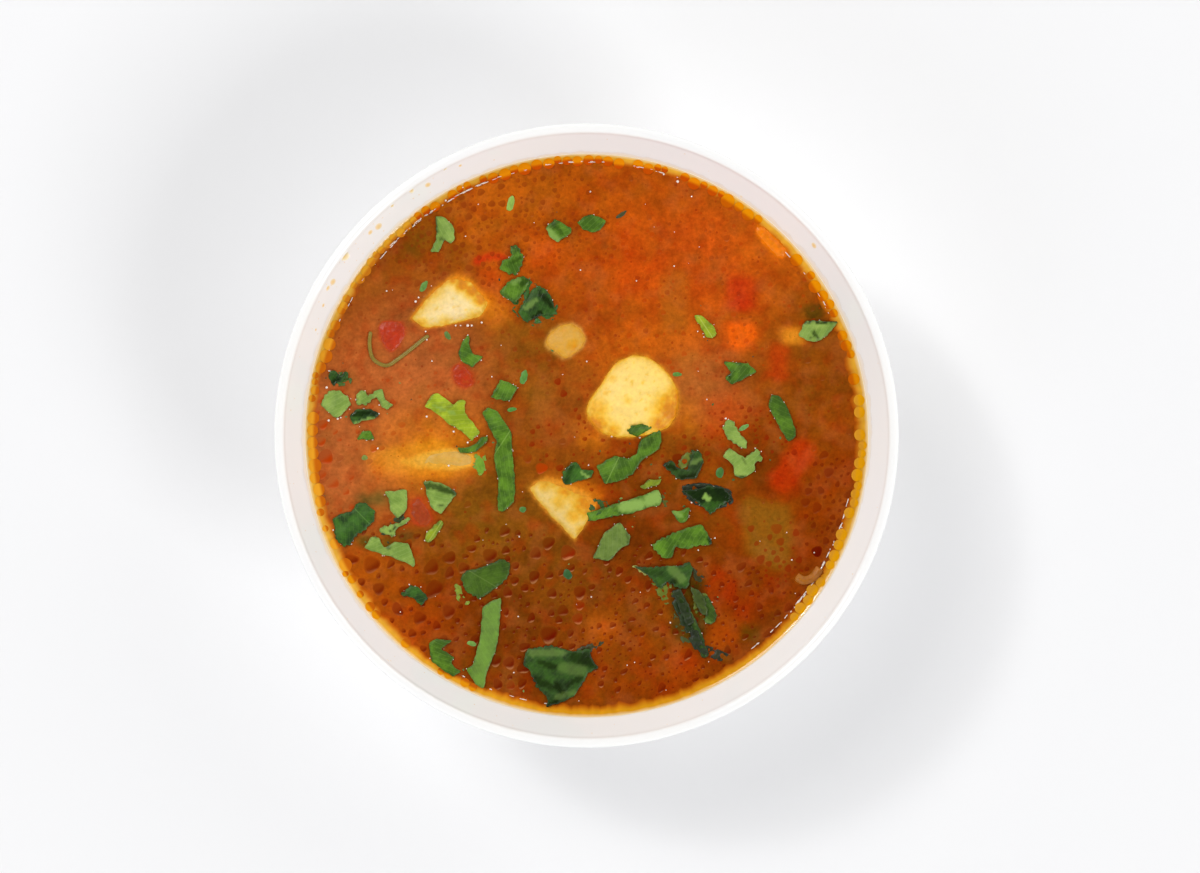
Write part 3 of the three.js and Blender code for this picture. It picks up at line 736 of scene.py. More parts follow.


# Oil drops. Red oil rendered from the fried vegetables floats on the broth in some two thousand flat
# lenses, half a millimetre to five across. Each looks like a dark red well with a soft edge, with
# painted shade on its side away from the lamps and a painted highlight along its near side.
oil_tones = {"maroon": "#6A1200", "red": "#8A2002", "orange": "#B43A02", "brown": "#84300A"}
large_drops = [
    # middle x, y and reach in the picture, tone, how dark the well is, how far its painted shade leans, its
    # painted glow
    (323, 424, 5.5, "orange", 0.9, 0.9, 0.1), (321, 441, 5.5, "orange", 0.9, 0.8, 0.1),
    (326, 457, 8, "orange", 1, 1, 0.1), (322, 474, 5, "orange", 0.7, 0.7, 0.05),
    (333, 482, 7, "orange", 0.7, 0.9, 0.05), (374, 448, 4.5, "orange", 0.7, 0.4, 0.3),
    (366, 450, 5, "orange", 0.4, 0.6, 0.15), (358, 431, 3, "orange", 0.7, 0.3, 0.05),
    (542, 468, 6.5, "orange", 0.9, 0.2, 0.1), (528, 458, 5, "red", 0.5, 0.5, 0.05),
    (372, 564, 9, "maroon", 0.8, 0.5, 0.1), (379, 588, 6.5, "maroon", 0.8, 0.4, 0.05),
    (343, 541, 5, "maroon", 0.8, 0.2, 0), (405, 591, 6, "maroon", 0.8, 0.4, 0.05),
    (420, 617, 7, "maroon", 0.8, 0.5, 0.05), (490, 555, 8, "maroon", 0.9, 0.5, 0.1),
    (536, 553, 6.5, "maroon", 0.8, 0.5, 0.12), (568, 552, 8, "red", 0.9, 0.6, 0.3),
    (563, 610, 6, "maroon", 0.8, 0.5, 0.1), (580, 605, 5, "red", 0.8, 0.4, 0.2),
    (549, 634, 9, "maroon", 1, 0.5, 0.2), (578, 618, 6, "red", 0.8, 0.5, 0.2),
    (511, 685, 5, "red", 0.7, 0.5, 0.1), (560, 468, 4.5, "red", 0.9, 0.3, 0),
    (558, 381, 4, "red", 0.8, 0.2, 0), (564, 393, 4, "red", 0.8, 0.3, 0),
    (533, 431, 3.2, "red", 0.7, 0.2, 0), (817, 551, 6, "maroon", 1, 0.1, 0),
    (777, 528, 6, "red", 0.5, 0.2, 0), (751, 528, 4, "red", 0.7, 0.2, 0),
    (678, 458, 6, "maroon", 0.7, 0.2, 0),
]
drop_fields = [
    # middle x, y; half width, height; how many; least and most reach in mm; stretch; tone; how dark
    # the well is; how far its painted shade leans away from the light; painted glow along its near side
    ((385, 592), (80, 75), 280, 0.7, 2.3, 1.6, "maroon", 0.8, 0.5, 0.1),
    ((330, 455), (26, 100), 26, 0.8, 1.4, 1.3, "orange", 0.7, 0.8, 0.05),
    ((455, 225), (85, 65), 300, 0.5, 1.1, 1.25, "brown", 0.6, 0.3, 0.0),
    ((510, 605), (75, 80), 420, 0.5, 1.8, 1.6, "maroon", 0.85, 0.5, 0.22),
    ((650, 620), (100, 75), 620, 0.35, 1.1, 1.8, "maroon", 0.8, 0.4, 0.25),
    ((830, 520), (26, 75), 260, 0.5, 1.5, 1.5, "maroon", 0.55, 0.2, 0.03),
    ((780, 555), (26, 32), 60, 0.5, 1.2, 1.3, "red", 0.6, 0.1, 0.0),
    ((775, 600), (62, 42), 170, 0.45, 1.4, 1.6, "maroon", 0.7, 0.4, 0.1),
    ((490, 215), (120, 60), 320, 0.4, 0.9, 1.2, "brown", 0.5, 0.2, 0.0),
    ((430, 430), (90, 60), 80, 0.4, 1.0, 1.3, "orange", 0.5, 0.4, 0.04),
    ((610, 450), (80, 60), 120, 0.4, 0.9, 1.4, "red", 0.75, 0.3, 0.0),
    ((740, 440), (60, 40), 90, 0.4, 0.9, 1.4, "red", 0.75, 0.3, 0.0),
    ((700, 290), (130, 90), 160, 0.4, 0.9, 1.2, "orange", 0.5, 0.2, 0.06),
    ((560, 300), (110, 90), 160, 0.4, 0.9, 1.2, "red", 0.45, 0.3, 0.06),
    ((587, 435), (270, 270), 1000, 0.22, 0.5, 1.3, "red", 0.55, 0.3, 0.03),
    ((587, 435), (270, 270), 300, 0.5, 1.0, 1.3, "brown", 0.35, 0.3, 0.08),
]
drop_spacing = 0.92
shore_clearance = 1.4 * mm
drop_flatness = (0.03, 0.05)
drop_lobing = 0.1
drop_sink = 0.01 * mm
# reach from which a drop's mesh is finer, and the corners round a drop and rings in it at each fineness
drop_sizes = (0.4 * mm, 0.9 * mm)
drop_meshes = ((8, 2), (12, 3), (24, 6))
# directions in plan of each drop's painted shade and of its painted highlight
far_from_light = np.array((0.6, -0.8))
glow_side = np.array((0.15, -1))

broth_spots = KDTree(len(flat_x))
for k, (x, y) in enumerate(zip(flat_x, flat_y)):
    broth_spots.insert((x, y, 0), k)
broth_spots.balance()


def broth_tone_at(x, y):
    """The broth's own colour at the nearest corner of its grid."""
    return np.array(broth_tone[broth_spots.find((x, y, 0))[1]])


def eased(values, start, end):
    """Share from 0 to 1 as the values pass from start to end, slow at both."""
    share = np.clip((values - start) / (end - start), 0, 1)
    return (share * share * (3 - 2 * share))[:, None]


def drop_tones(plan, under, oil, well, shade_lean, glow):
    """Colours of one drop's corners, from the broth's colour under it and the tone of its oil.
    It carries painted shade on the side away from the lamps and a painted highlight on its near side.
    """
    edge = np.hypot(*plan.T)
    # painted shade: the well is darkest on its side away from the lamps
    shaded = 1 - shade_lean + shade_lean * eased(plan @ far_from_light, -0.3, 0.5)
    dark = well * shaded * (1 - eased(edge, 0.72, 1.0))
    # painted highlight: a pale orange crescent along the drop's near side
    light = glow * eased(plan @ glow_side, 0.45, 0.8) * (1 - eased(edge, 0.85, 1.0))
    return under * (1 - dark) + linear(oil_tones[oil]) * dark + light * np.array((1.0, 0.55, 0.22))


# Tomato and paprika oil: clear deep red-orange, with the smoothest skin of anything in the bowl
red_oil = toned_finish("red_vegetable_oil", Roughness=0.06, IOR=1.47)

random.seed(5)
drops = Heap()
# places and reaches of the drops that are there already, by square of the plan
taken = {}
crowd_cell = 2 * mm


def crowded(x, y, reach):
    """Whether a drop of that reach would lie on one that is already there."""
    column, row = int(x // crowd_cell), int(y // crowd_cell)
    for i in range(column - 2, column + 3):
        for j in range(row - 2, row + 3):
            for a, b, other in taken.get((i, j), ()):
                if math.hypot(x - a, y - b) < drop_spacing * (reach + other):
                    return True
    return False


def put_drop(x, y, reach, oval_by, look):
    """Adds one flat lens of oil with a slightly lobed outline, if there is room for it."""
    near = floating_tree.find_nearest(Vector((x, y, soup_level)))[3]
    by_the_wall = math.hypot(x, y) > edge_radius - shore_clearance - reach
    if by_the_wall or near < reach or crowded(x, y, reach * oval_by):
        return
    taken.setdefault((int(x // crowd_cell), int(y // crowd_cell)), []).append((x, y, reach * oval_by))
    sides, rings = drop_meshes[np.searchsorted(drop_sizes, reach, side="right")]
    height = reach * random.uniform(*drop_flatness)
    turn = math.radians(random.gauss(50, 25))
    corners, faces, plan = lens(reach, height, sides, rings, oval_by, turn)
    lobes = 3 * np.arctan2(plan[:, 1], plan[:, 0]) + random.uniform(0, 2 * math.pi)
    corners[:, :2] *= 1 + drop_lobing * np.sin(lobes)[:, None]
    corners += (x, y, broth_height(x, y) - drop_sink)
    drops.put(corners, faces, drop_tones(plan, broth_tone_at(x, y), *look))


for x, y, reach, *look in large_drops:
    put_drop(*seen_at(x, y), reach * seen_pixel, 1.08, look)
for middle, half, count, least, most, stretch, *look in drop_fields:
    for _ in range(count):
        share, turn = math.sqrt(random.random()), random.uniform(0, 2 * math.pi)
        aside, along = half[0] * share * math.cos(turn), half[1] * share * math.sin(turn)
        x, y = seen_at(middle[0] + aside, middle[1] + along)
        reach = (least + (most - least) * random.random() ** 2) * mm
        put_drop(x, y, reach, random.uniform(1, stretch), look)
drops.piece("oil_drops", red_oil, "broth")


# Oil shore. The same oil gathers against the wall in a bright band, two to four millimetres wide, that
# is thin enough there to look yellow. It breaks into beads all round except along the bottom.
shore_shape = [
    # angle in degrees, anticlockwise from the right, width of the band in mm, how far its film climbs
    # the wall and how much of the band is pale
    (0, 3.8, 0.8, 0.5), (30, 3.5, 1, 0.6), (60, 2.8, 0.7, 0.6), (90, 2.4, 0.6, 0.7), (120, 2.6, 0.6, 0.8),
    (150, 2.9, 0.7, 1), (180, 3.0, 0.8, 1), (210, 3.3, 0.7, 0.9), (235, 2.9, 0.4, 0.3), (265, 3.4, 0.2, 0),
    (290, 3.3, 0.2, 0), (320, 2.9, 0.2, 0.2), (345, 3.3, 0.4, 0.3), (360, 3.8, 0.8, 0.5),
]
shore_turns = 900
shore_bulge = 0.04 * mm
shore_shares = (0, 0.15, 0.3, 0.45, 0.6, 0.75, 0.88, 1)
wall_washes = ((0.35, 0.75), (0.95, 1))
film_climb = 0.1 * mm
shore_overlap = 0.02 * mm
shore_film = 0.01 * mm
shore_tuck = 0.3 * mm
wash_lift = 0.09 * mm
thin_from = 0.75
shore_deep = linear("#CC640C")
shore_mid = linear("#E6A01A")
shore_pale = linear("#E8B040")
shore_thin = linear("#F0D49C")
washed_wall = linear("#F2EEE8")
bead_flatness = 0.1
bead_lift = 0.13 * mm
bead_insets = (1.1, 1.5)
bead_runs = [
    # angles in degrees, least and most reach in mm, share left out, colours at the wall and the broth
    (-42, 8, 1.0, 1.5, 0.1, "#F0A60C", "#E09A28"),
    (8, 58, 1.0, 1.8, 0.1, "#EC9204", "#C85E04"),
    (58, 128, 0.8, 1.6, 0.1, "#EE8E08", "#C64E04"),
    (128, 152, 0.8, 1.3, 0.2, "#F2AC2C", "#D47C1A"),
    (152, 208, 0.7, 1.7, 0.2, "#F0A428", "#C8660E"),
    (208, 245, 0.7, 1.2, 0.5, "#E8940C", "#C05C0C"),
]

angles = np.arange(shore_turns) * 2 * math.pi / shore_turns
compass, *shore_columns = np.array(shore_shape).T
shore_rows = zip(angles, *(np.interp(np.degrees(angles), compass, column) for column in shore_columns))
shore_band = Heap()
rows = []
band_tones = []
for angle, width, climb, paleness in shore_rows:
    unit = np.array((math.cos(angle), math.sin(angle)))
    lumpy = noise.noise(Vector((*(unit * 28), 2.0))) + 0.5 * noise.noise(Vector((*(unit * 75), 5.0)))
    width *= (1 + 0.3 * lumpy) * mm
    bright = shore_mid * (1 - paleness) + shore_pale * paleness
    for share in shore_shares:
        x, y = unit * (edge_radius - width * (1 - share) + shore_overlap)
        # the band's inner edge dips under the broth, and 6.7 brings the bulge to its full height
        film = film_climb * share**6 + (shore_film if share else -2 * shore_film)
        bulge = 6.7 * share**2 * (1 - share) * shore_bulge
        lift = -shore_tuck if stands_out(x, y) else film + bulge
        rows.append((x, y, broth_height(x, y) + lift))
        mottle = 1 + 0.2 * noise.noise(Vector((x, y, 0)) / (1.6 * mm))
        oily = min(1, 2.7 * share) * mottle
        rich = min(1, max(0, 2.2 * share - 0.4))
        tone = broth_tone_at(x, y) * max(0, 1 - oily) + oily * (shore_deep * (1 - rich) + bright * rich)
        thin = max(0, share - thin_from) / (1 - thin_from)
        band_tones.append(tone * (1 - thin) + shore_thin * thin)
    for reach, clean in wall_washes:
        radius = edge_radius + climb * reach * (1 + 0.5 * lumpy) * mm
        height = np.interp(radius, inner_wall[:, 0], inner_wall[:, 1]) + wash_lift
        rows.append((*(unit * radius), height))
        band_tones.append(shore_thin * (1 - clean) + washed_wall * clean)
across = len(shore_shares) + len(wall_washes)
band_faces = []
for i in range(shore_turns):
    here, ahead = i * across, (i + 1) % shore_turns * across
    band_faces += [(here + k, here + k + 1, ahead + k + 1, ahead + k) for k in range(across - 1)]
shore_band.put(rows, band_faces, np.array(band_tones))
random.seed(21)
for start, end, least, most, left_out, at_wall, at_broth in bead_runs:
    angle = math.radians(start)
    while angle < math.radians(end):
        reach = random.uniform(least, most) * mm
        angle += reach / edge_radius
        unit = np.array((math.cos(angle), math.sin(angle)))
        middle = unit * (edge_radius - random.uniform(*bead_insets) * reach)
        dry = floating_tree.find_nearest(Vector((*middle, soup_level)))[3] < 0.8 * reach
        if random.random() > left_out and not dry:
            oval_by = random.uniform(1, 1.12)
            corners, faces, plan = lens(reach, bead_flatness * reach, 20, 6, oval_by, angle + math.pi / 2)
            corners[:, :2] += middle
            corners[:, 2] += [broth_height(x, y) + bead_lift for x, y in corners[:, :2]]
            start_share = random.uniform(-0.6, 0)
            share = eased(-(plan @ unit), start_share, start_share + 0.7)
            shore_band.put(corners, faces, linear(at_wall) * (1 - share) + linear(at_broth) * share)
        angle += random.uniform(1.02, 1.4) * reach / edge_radius
shore_band.piece("oil_shore", red_oil, "broth")


# Coriander. Fresh leaves chopped with a knife and scattered on last: thin flat scraps with straight
# cuts and toothed edges, some with their pale underside up, that lie wet on the broth.
leaf_thickness = 0.25 * mm
leaf_sink = 0.42 * mm
edge_step = 0.42 * mm
face_step = 0.62 * mm
row_step = 0.87 * face_step
tooth_length = 1.5 * mm
wrinkle_height = 0.1 * mm
rim_shadow_width = 0.45 * mm
patch_raggedness = 0.45 * mm
leaf_greens = {
    # slot: the leaf's lighter and darker green, its veins, and its wet or bruised patches
    "leaf_pale": ("#90AC4E", "#72903A", "#A8C070", "#2E4018"),
    "leaf_green": ("#5E881E", "#3C5E10", "#80A244", "#1C3010"),
    "leaf_dark": ("#3E6C1C", "#223E14", "#5C8238", "#141F0C"),
    "leaf_lime": ("#AABE26", "#84981A", "#C0CC60", "#4A4A14"),
}
leaf_gloom = {
    # how dark the whole of a sodden leaf is
    "leaf_23": 0.5, "leaf_26": 0.36, "leaf_33": 0.42, "leaf_41": 0.42, "leaf_35": 0.18, "leaf_38": 0.4,
    "leaf_43": 0.35, "leaf_44": 0.56, "leaf_45": 0.5, "leaf_30": 0.06, "leaf_06": 0.25, "leaf_18": 0.3,
    "leaf_07": 0.12,
}
midribs = {
    # where a leaf's midrib starts and ends in the picture
    "leaf_19": ((350, 503), (376, 529)), "leaf_23": ((464, 567), (503, 590)),
    "leaf_30": ((621, 453), (604, 488)), "leaf_28": ((512, 428), (496, 452)),
    "leaf_44": ((678, 592), (708, 660)), "leaf_07": ((696, 312), (716, 342)),
    "leaf_18": ((444, 518), (427, 544)),
}
toothed = {
    "leaf_04", "leaf_10", "leaf_11", "leaf_19", "leaf_22", "leaf_26", "leaf_36", "leaf_37", "leaf_38",
    "leaf_39", "leaf_42", "leaf_43", "leaf_20", "leaf_31", "leaf_05", "leaf_23",
}
patches = {
    # node: strokes from x, y to x, y with a half width, dark where positive and pale where negative;
    # the pale strokes marked below are painted sheen
    "leaf_01": [(435, 217, 438, 231, 1.6, 0.9), (441, 237, 446, 242, 1.6, 0.6)],
    "leaf_02": [(548, 232, 556, 240, 5, -0.8), (552, 222, 562, 232, 2, 0.5)],
    "leaf_04": [(512, 245, 522, 251, 2.5, 0.6), (511, 262, 520, 258, 1.5, 0.6)],
    "leaf_05": [(522, 284, 528, 279, 3, 0.6), (505, 294, 512, 300, 2, 0.4), (514, 283, 519, 279, 2.5, -0.5)],
    "leaf_06": [
        # the pale stroke on the next line is a painted highlight on the wet leaf
        (540, 292, 552, 306, 3, 0.8), (526, 308, 536, 300, 2.5, -0.6), (534, 318, 541, 312, 2.5, 0.9),
    ],
    "leaf_08": [(803, 322, 839, 321, 1.4, 1), (814, 332, 818, 338, 1.5, 0.8), (811, 337, 814, 335, 1.2, 0.7)],
    "leaf_09": [(331, 384, 338, 378, 3, 0.8)],
    "leaf_12": [(352, 413, 376, 412, 3.5, 0.8), (356, 423, 374, 418, 1.5, -0.8)],
    "leaf_14": [(441, 412, 452, 404, 2, 0.3), (434, 405, 456, 414, 1.2, -0.5)],
    "leaf_16": [(387, 512, 400, 517, 1.4, 0.5)],
    "leaf_17": [
        (426, 485, 440, 487, 3.6, 0.85), (438, 487, 455, 492, 3.4, 0.9), (435, 506, 443, 504, 1.1, 0.7),
    ],
    "leaf_20": [(390, 531, 396, 527, 1.3, 0.9), (384, 536, 393, 535, 1.2, 0.5)],
    "leaf_21": [(384, 540, 389, 547, 2.6, 0.65)],
    "leaf_24": [
        (500, 612, 500, 622, 1.1, 0.6), (475, 666, 481, 664, 1.1, 0.5), (496, 598, 478, 688, 11, -0.4),
    ],
    "leaf_26": [
        (532, 652, 562, 652, 4, -0.5), (541, 662, 554, 666, 3.5, 0.7), (576, 656, 596, 662, 7, 0.7),
        # the first stroke on the next line is painted sheen on the wet leaf
        (564, 667, 582, 670, 6, -0.35), (534, 679, 552, 686, 4, 0.7), (556, 684, 563, 692, 3.5, 0.8),
        (568, 684, 581, 677, 3, 0.7), (557, 696, 574, 692, 3, -0.35), (549, 706, 557, 701, 3.5, 0.8),
    ],
    "leaf_27": [(492, 397, 498, 388, 1.4, 0.4)],
    "leaf_28": [(497, 438, 500, 446, 1.2, 0.6), (503, 505, 511, 500, 2, 0.3)],
    "leaf_30": [(645, 447, 652, 440, 2.5, 0.4), (656, 430, 660, 434, 2, 0.4)],
    "leaf_31": [(582, 472, 588, 476, 1.6, -0.8), (566, 482, 572, 466, 2.5, 0.5)],
    "leaf_32": [(624, 506, 640, 504, 6, -1), (650, 500, 659, 496, 7, -1), (642, 500, 646, 508, 1.1, 0.8)],
    "leaf_34": [(725, 360, 740, 356, 2.5, 0.7), (727, 371, 731, 377, 1.8, 0.8)],
    "leaf_37": [(735, 477, 752, 479, 2.6, 0.9), (742, 458, 746, 463, 1.2, 0.5)],
    "leaf_38": [(664, 463, 676, 468, 3, 0.8), (692, 463, 701, 458, 2, -0.7), (682, 477, 695, 476, 2.5, 0.9)],
    "leaf_39": [(684, 494, 728, 494, 9, 0.85), (711, 512, 717, 500, 5, 0.4), (705, 496, 709, 499, 2.6, -1.6)],
    "leaf_40": [(672, 511, 680, 515, 3, -0.6)],
    "leaf_41": [(627, 532, 630, 545, 1.8, 0.5), (594, 560, 604, 556, 1.2, 0.3)],
    "leaf_42": [(709, 538, 714, 546, 2.6, 1)],
    "leaf_43": [(640, 566, 660, 574, 4, 0.3), (672, 568, 682, 578, 5, -0.5), (668, 586, 676, 580, 3, 0.8)],
    "leaf_44": [(690, 606, 700, 640, 1, -0.4), (680, 600, 700, 645, 3, 0.7)],
    "leaf_45": [(705, 620, 711, 623, 2, -0.8)],
}


def leaf_finish(slot):
    """Coriander leaf: a waxy skin over soft tissue, with fine veins every millimetre or two."""
    light, dark, veins, bruise = leaf_greens[slot]
    leaf, tree, shader = new_finish("coriander_" + slot, Roughness=0.46, IOR=1.34)
    place = add(tree, "TexCoord").outputs["Object"]
    patchy = add(tree, "TexNoise", {"Scale": 1 / (3.2 * mm), "Detail": 3.0}, {"Vector": place})
    tone_share = add(tree, "MapRange", {1: 0.35, 2: 0.65, 3: -0.15, 4: 0.85}, {0: patchy.outputs["Fac"]})
    cells = add(tree, "TexVoronoi", {"Scale": 1 / (0.5 * mm)}, {"Vector": place})
    celled = add(tree, "Math", {"operation": "MULTIPLY_ADD", 1: 0.4},
                 {0: cells.outputs["Distance"], 2: tone_share.outputs[0]})
    green = add(tree, "Mix", {"data_type": "RGBA", 6: paint(light), 7: paint(dark)}, {0: celled.outputs[0]})
    run = add(tree, "Attribute", {"attribute_name": "grain"})
    grain = add(tree, "SeparateXYZ", {}, {0: run.outputs["Vector"]})
    across = add(tree, "Math", {"operation": "ABSOLUTE"}, {0: grain.outputs["Y"]})
    slant = add(tree, "Math", {"operation": "MULTIPLY_ADD", 1: -1.1},
                {0: across.outputs[0], 2: grain.outputs["X"]})
    wander = add(tree, "TexNoise", {"Scale": 1 / (2.5 * mm), "Detail": 1.0}, {"Vector": place})
    bent = add(tree, "Math", {"operation": "MULTIPLY_ADD", 1: 0.9},
               {0: wander.outputs["Fac"], 2: slant.outputs[0]})
    spaced = add(tree, "Math", {"operation": "PINGPONG", 1: 0.85}, {0: bent.outputs[0]})
    side_veins = add(tree, "MapRange", {1: 0.0, 2: 0.14, 3: 0.3, 4: 0.0}, {0: spaced.outputs[0]})
    midrib = add(tree, "MapRange", {1: 0.06, 2: 0.2, 3: 0.6, 4: 0.0}, {0: across.outputs[0]})
    vein = add(tree, "Math", {"operation": "MAXIMUM"}, {0: side_veins.outputs[0], 1: midrib.outputs[0]})
    veined = add(tree, "Mix", {"data_type": "RGBA", 7: paint(veins)},
                 {0: vein.outputs[0], 6: green.outputs[2]})
    patch = add(tree, "VertexColor", {"layer_name": "tone"})
    patch_parts = add(tree, "SeparateColor", {}, {0: patch.outputs["Color"]})
    bruised = add(tree, "Mix", {"data_type": "RGBA", 7: paint(bruise)},
                  {0: patch_parts.outputs[0], 6: veined.outputs[2]})
    # pale patches: where a leaf lies underside up, and on a few wet leaves a painted sheen
    underside_and_sheen = add(tree, "Mix", {"data_type": "RGBA", 7: paint("#86A84E")},
                 {0: patch_parts.outputs[1], 6: bruised.outputs[2]})
    # darker where a leaf is sodden, and in patches along its rim as painted shadow
    sodden_and_rim_shadow = add(tree, "Mix", {"data_type": "RGBA", 7: paint("#20280A")},
                 {0: patch_parts.outputs[2], 6: underside_and_sheen.outputs[2]})
    shine = add(tree, "MapRange", {1: 0.0, 2: 1.0, 3: 0.46, 4: 0.2}, {0: patch_parts.outputs[0]})
    skin = add(tree, "Math", {"operation": "MULTIPLY_ADD", 1: 0.35},
               {0: cells.outputs["Distance"], 2: vein.outputs[0]})
    folded = add(tree, "Math", {"operation": "MULTIPLY_ADD", 1: 5.0},
                 {0: patchy.outputs["Fac"], 2: skin.outputs[0]})
    relief = add(tree, "Bump", {"Strength": 0.5, "Distance": 0.08 * mm}, {"Height": folded.outputs[0]})
    tree.links.new(sodden_and_rim_shadow.outputs[2], shader.inputs["Base Color"])
    tree.links.new(shine.outputs[0], shader.inputs["Roughness"])
    tree.links.new(relief.outputs["Normal"], shader.inputs["Normal"])
    return leaf


def rim_of(mesh):
    """Plan of a CAD scrap's edge, anticlockwise, from the upright faces of its cut."""
    weld = 1e-6
    plan = [tuple(round(c / weld) for c in corner.co[:2]) for corner in mesh.vertices]
    beside = {}
    for polygon in mesh.polygons:
        ends = {plan[i] for i in polygon.vertices}
        if len(ends) == 2:
            start, end = ends
            beside.setdefault(start, set()).add(end)
            beside.setdefault(end, set()).add(start)
    loop = [min(beside)]
    while len(loop) < len(beside) and (onward := beside[loop[-1]] - set(loop)):
        loop.append(min(onward, key=lambda spot: math.dist(spot, loop[-1])))
    return anticlockwise(np.array(loop) * weld)


def nibbled(rim, seed, teeth):
    """The same edge walked at even steps, its corners a little round, with fine teeth and nicks."""
    closed = np.vstack([rim, rim[:1]])
    walked = np.concatenate([[0], np.cumsum(np.hypot(*np.diff(closed, axis=0).T))])
    count = max(12, round(walked[-1] / edge_step))
    along = np.arange(count) * walked[-1] / count
    edge = np.stack([np.interp(along, walked, closed[:, k]) for k in (0, 1)], axis=1)
    edge = 0.5 * edge + 0.25 * (np.roll(edge, 1, axis=0) + np.roll(edge, -1, axis=0))
    course = np.roll(edge, -1, axis=0) - np.roll(edge, 1, axis=0)
    outward = np.stack([course[:, 1], -course[:, 0]], axis=1) / np.hypot(*course.T)[:, None]
    for k in range(count):
        fine = noise.noise(Vector((*edge[k], seed * mm)) / (1.2 * mm))
        cut = max(0, noise.noise(Vector((*edge[k], -seed * mm)) / (5 * mm)) + 0.25) if teeth else 0
        tooth = abs(math.sin(math.pi * along[k] / tooth_length))
        edge[k] += outward[k] * (0.3 * fine + cut * (0.8 * tooth - 0.4)) * mm
    return edge


def inside(points, edge):
    """Which points lie inside a closed edge."""
    x, y = points[:, :1], points[:, 1:]
    ahead = np.roll(edge, -1, axis=0)
    spans = (edge[:, 1] > y) != (ahead[:, 1] > y)
    run, rise = (ahead - edge).T
    crossing = edge[:, 0] + (y - edge[:, 1]) * run / (rise + 1e-12)
    return (spans & (x < crossing)).sum(axis=1) % 2 == 1


def gaps_to(points, edge):
    """How far each point in plan lies from the nearest corner of an edge."""
    apart = points[:, None] - edge[None]
    return np.hypot(apart[..., 0], apart[..., 1]).min(axis=1)


def sheet_plan(edge):
    """Corners and faces in plan of a flat sheet inside that edge, meshed finely and evenly."""
    low, high = edge.min(axis=0), edge.max(axis=0)
    field = np.array([
        (x + (row % 2) * face_step / 2, y)
        for row, y in enumerate(np.arange(low[1], high[1], row_step))
        for x in np.arange(low[0], high[0], face_step)
    ])
    field = field[inside(field, edge)]
    plan = [Vector(p) for p in np.vstack([edge, field[gaps_to(field, edge) > 0.6 * face_step]])]
    outline = list(range(len(edge)))
    ring = list(zip(outline, outline[1:] + outline[:1]))
    corners, _, faces, *_ = geometry.delaunay_2d_cdt(plan, ring, [outline], 1, 1e-7)
    return corners, faces


def thin_sheet(upper, faces):
    """Corners and faces of a leaf as thick as coriander, from the corners and faces of its top."""
    count = len(upper)
    lower = [(x, y, z - leaf_thickness) for x, y, z in upper]
    sides = set()
    for face in faces:
        sides.update(zip(face, face[1:] + face[:1]))
    skirt = [(b, a, a + count, b + count) for a, b in sides if (b, a) not in sides]
    under = [tuple(i + count for i in face[::-1]) for face in faces]
    return upper + lower, [*faces, *under, *skirt]


def coriander(node, slot, finish, number):
    """One scrap: its edge from the CAD solid, a fine wavy face, and its veins' own directions."""
    mesh = frame["nodes"][node].data
    lying = BVHTree.FromPolygons([v.co for v in mesh.vertices], [tuple(p.vertices) for p in mesh.polygons])
    edge = nibbled(rim_of(mesh), 3.7 * number, node in toothed)
    plan, faces = sheet_plan(edge)
    upper = []
    for x, y in plan:
        hit = lying.ray_cast(Vector((x, y, bowl_height)), down)[0]
        if hit is None:
            hit = lying.find_nearest(Vector((x, y, soup_level + 1.5 * mm)))[0]
        wrinkle = wrinkle_height * noise.noise(Vector((x, y, number * mm)) / (2.4 * mm))
        upper.append((x, y, hit.z - leaf_sink + wrinkle))
    sheet_faces = 2 * len(faces)
    corners, faces = thin_sheet(upper, faces)
    piece = new_piece("coriander_" + node, corners, faces, finish, slot, node)
    for polygon in piece.data.polygons[sheet_faces:]:
        polygon.use_smooth = False
    points = np.array(corners)[:, :2]
    if node in midribs:
        base, tip = (seen_at(*end) for end in midribs[node])
        shift = 0
    else:
        spread = edge - edge.mean(axis=0)
        course = np.linalg.svd(spread)[2][0]
        base, tip = edge.mean(axis=0) - course, edge.mean(axis=0) + course
        shift = 1.2 * np.abs(spread @ np.array((-course[1], course[0]))).max()
    course = (tip - base) / np.hypot(*(tip - base))
    grain = np.zeros((len(points), 3))
    grain[:, 0] = (points - base) @ course / mm
    grain[:, 1] = ((points - base) @ np.array((-course[1], course[0])) + shift) / mm
    layer = piece.data.attributes.new("grain", "FLOAT_VECTOR", "POINT")
    layer.data.foreach_set("vector", grain.astype(np.float32).ravel())
    marks = np.zeros((len(points), 3))
    ragged = np.array([noise.noise(Vector((*p, 0)) / (0.8 * mm)) for p in points])
    # the third mark darkens a sodden leaf all over and, in patches along its rim, adds painted shadow where
    # it meets the broth
    painted_rim_shadow = eased(-gaps_to(points, edge), -rim_shadow_width, 0)[:, 0]
    marks[:, 2] = leaf_gloom.get(node, 0) + np.clip(1.2 * ragged, 0, 0.4) * painted_rim_shadow
    for x0, y0, x1, y1, half, amount in patches.get(node, ()):
        start, end = seen_at(x0, y0), seen_at(x1, y1)
        stroke = end - start
        along = np.clip((points - start) @ stroke / (stroke @ stroke), 0, 1)
        away = np.hypot(*(points - start - along[:, None] * stroke).T)
        reach = half * seen_pixel
        share = eased(-away - patch_raggedness * ragged, -1.25 * reach, -0.6 * reach)[:, 0]
        channel = 0 if amount > 0 else 1
        marks[:, channel] = np.maximum(marks[:, channel], np.minimum(1, abs(amount) * share))
    tint(piece, np.clip(marks, 0, 1))
    return edge


leaf_finishes = {slot: leaf_finish(slot) for slot in leaf_greens}
leaf_rows = [row for row in frame["record"]["subparts"] if row["node"].startswith("leaf_")]
leaf_edges = [
    coriander(row["node"], row["material_slot"], leaf_finishes[row["material_slot"]], number)
    for number, row in enumerate(leaf_rows)
]


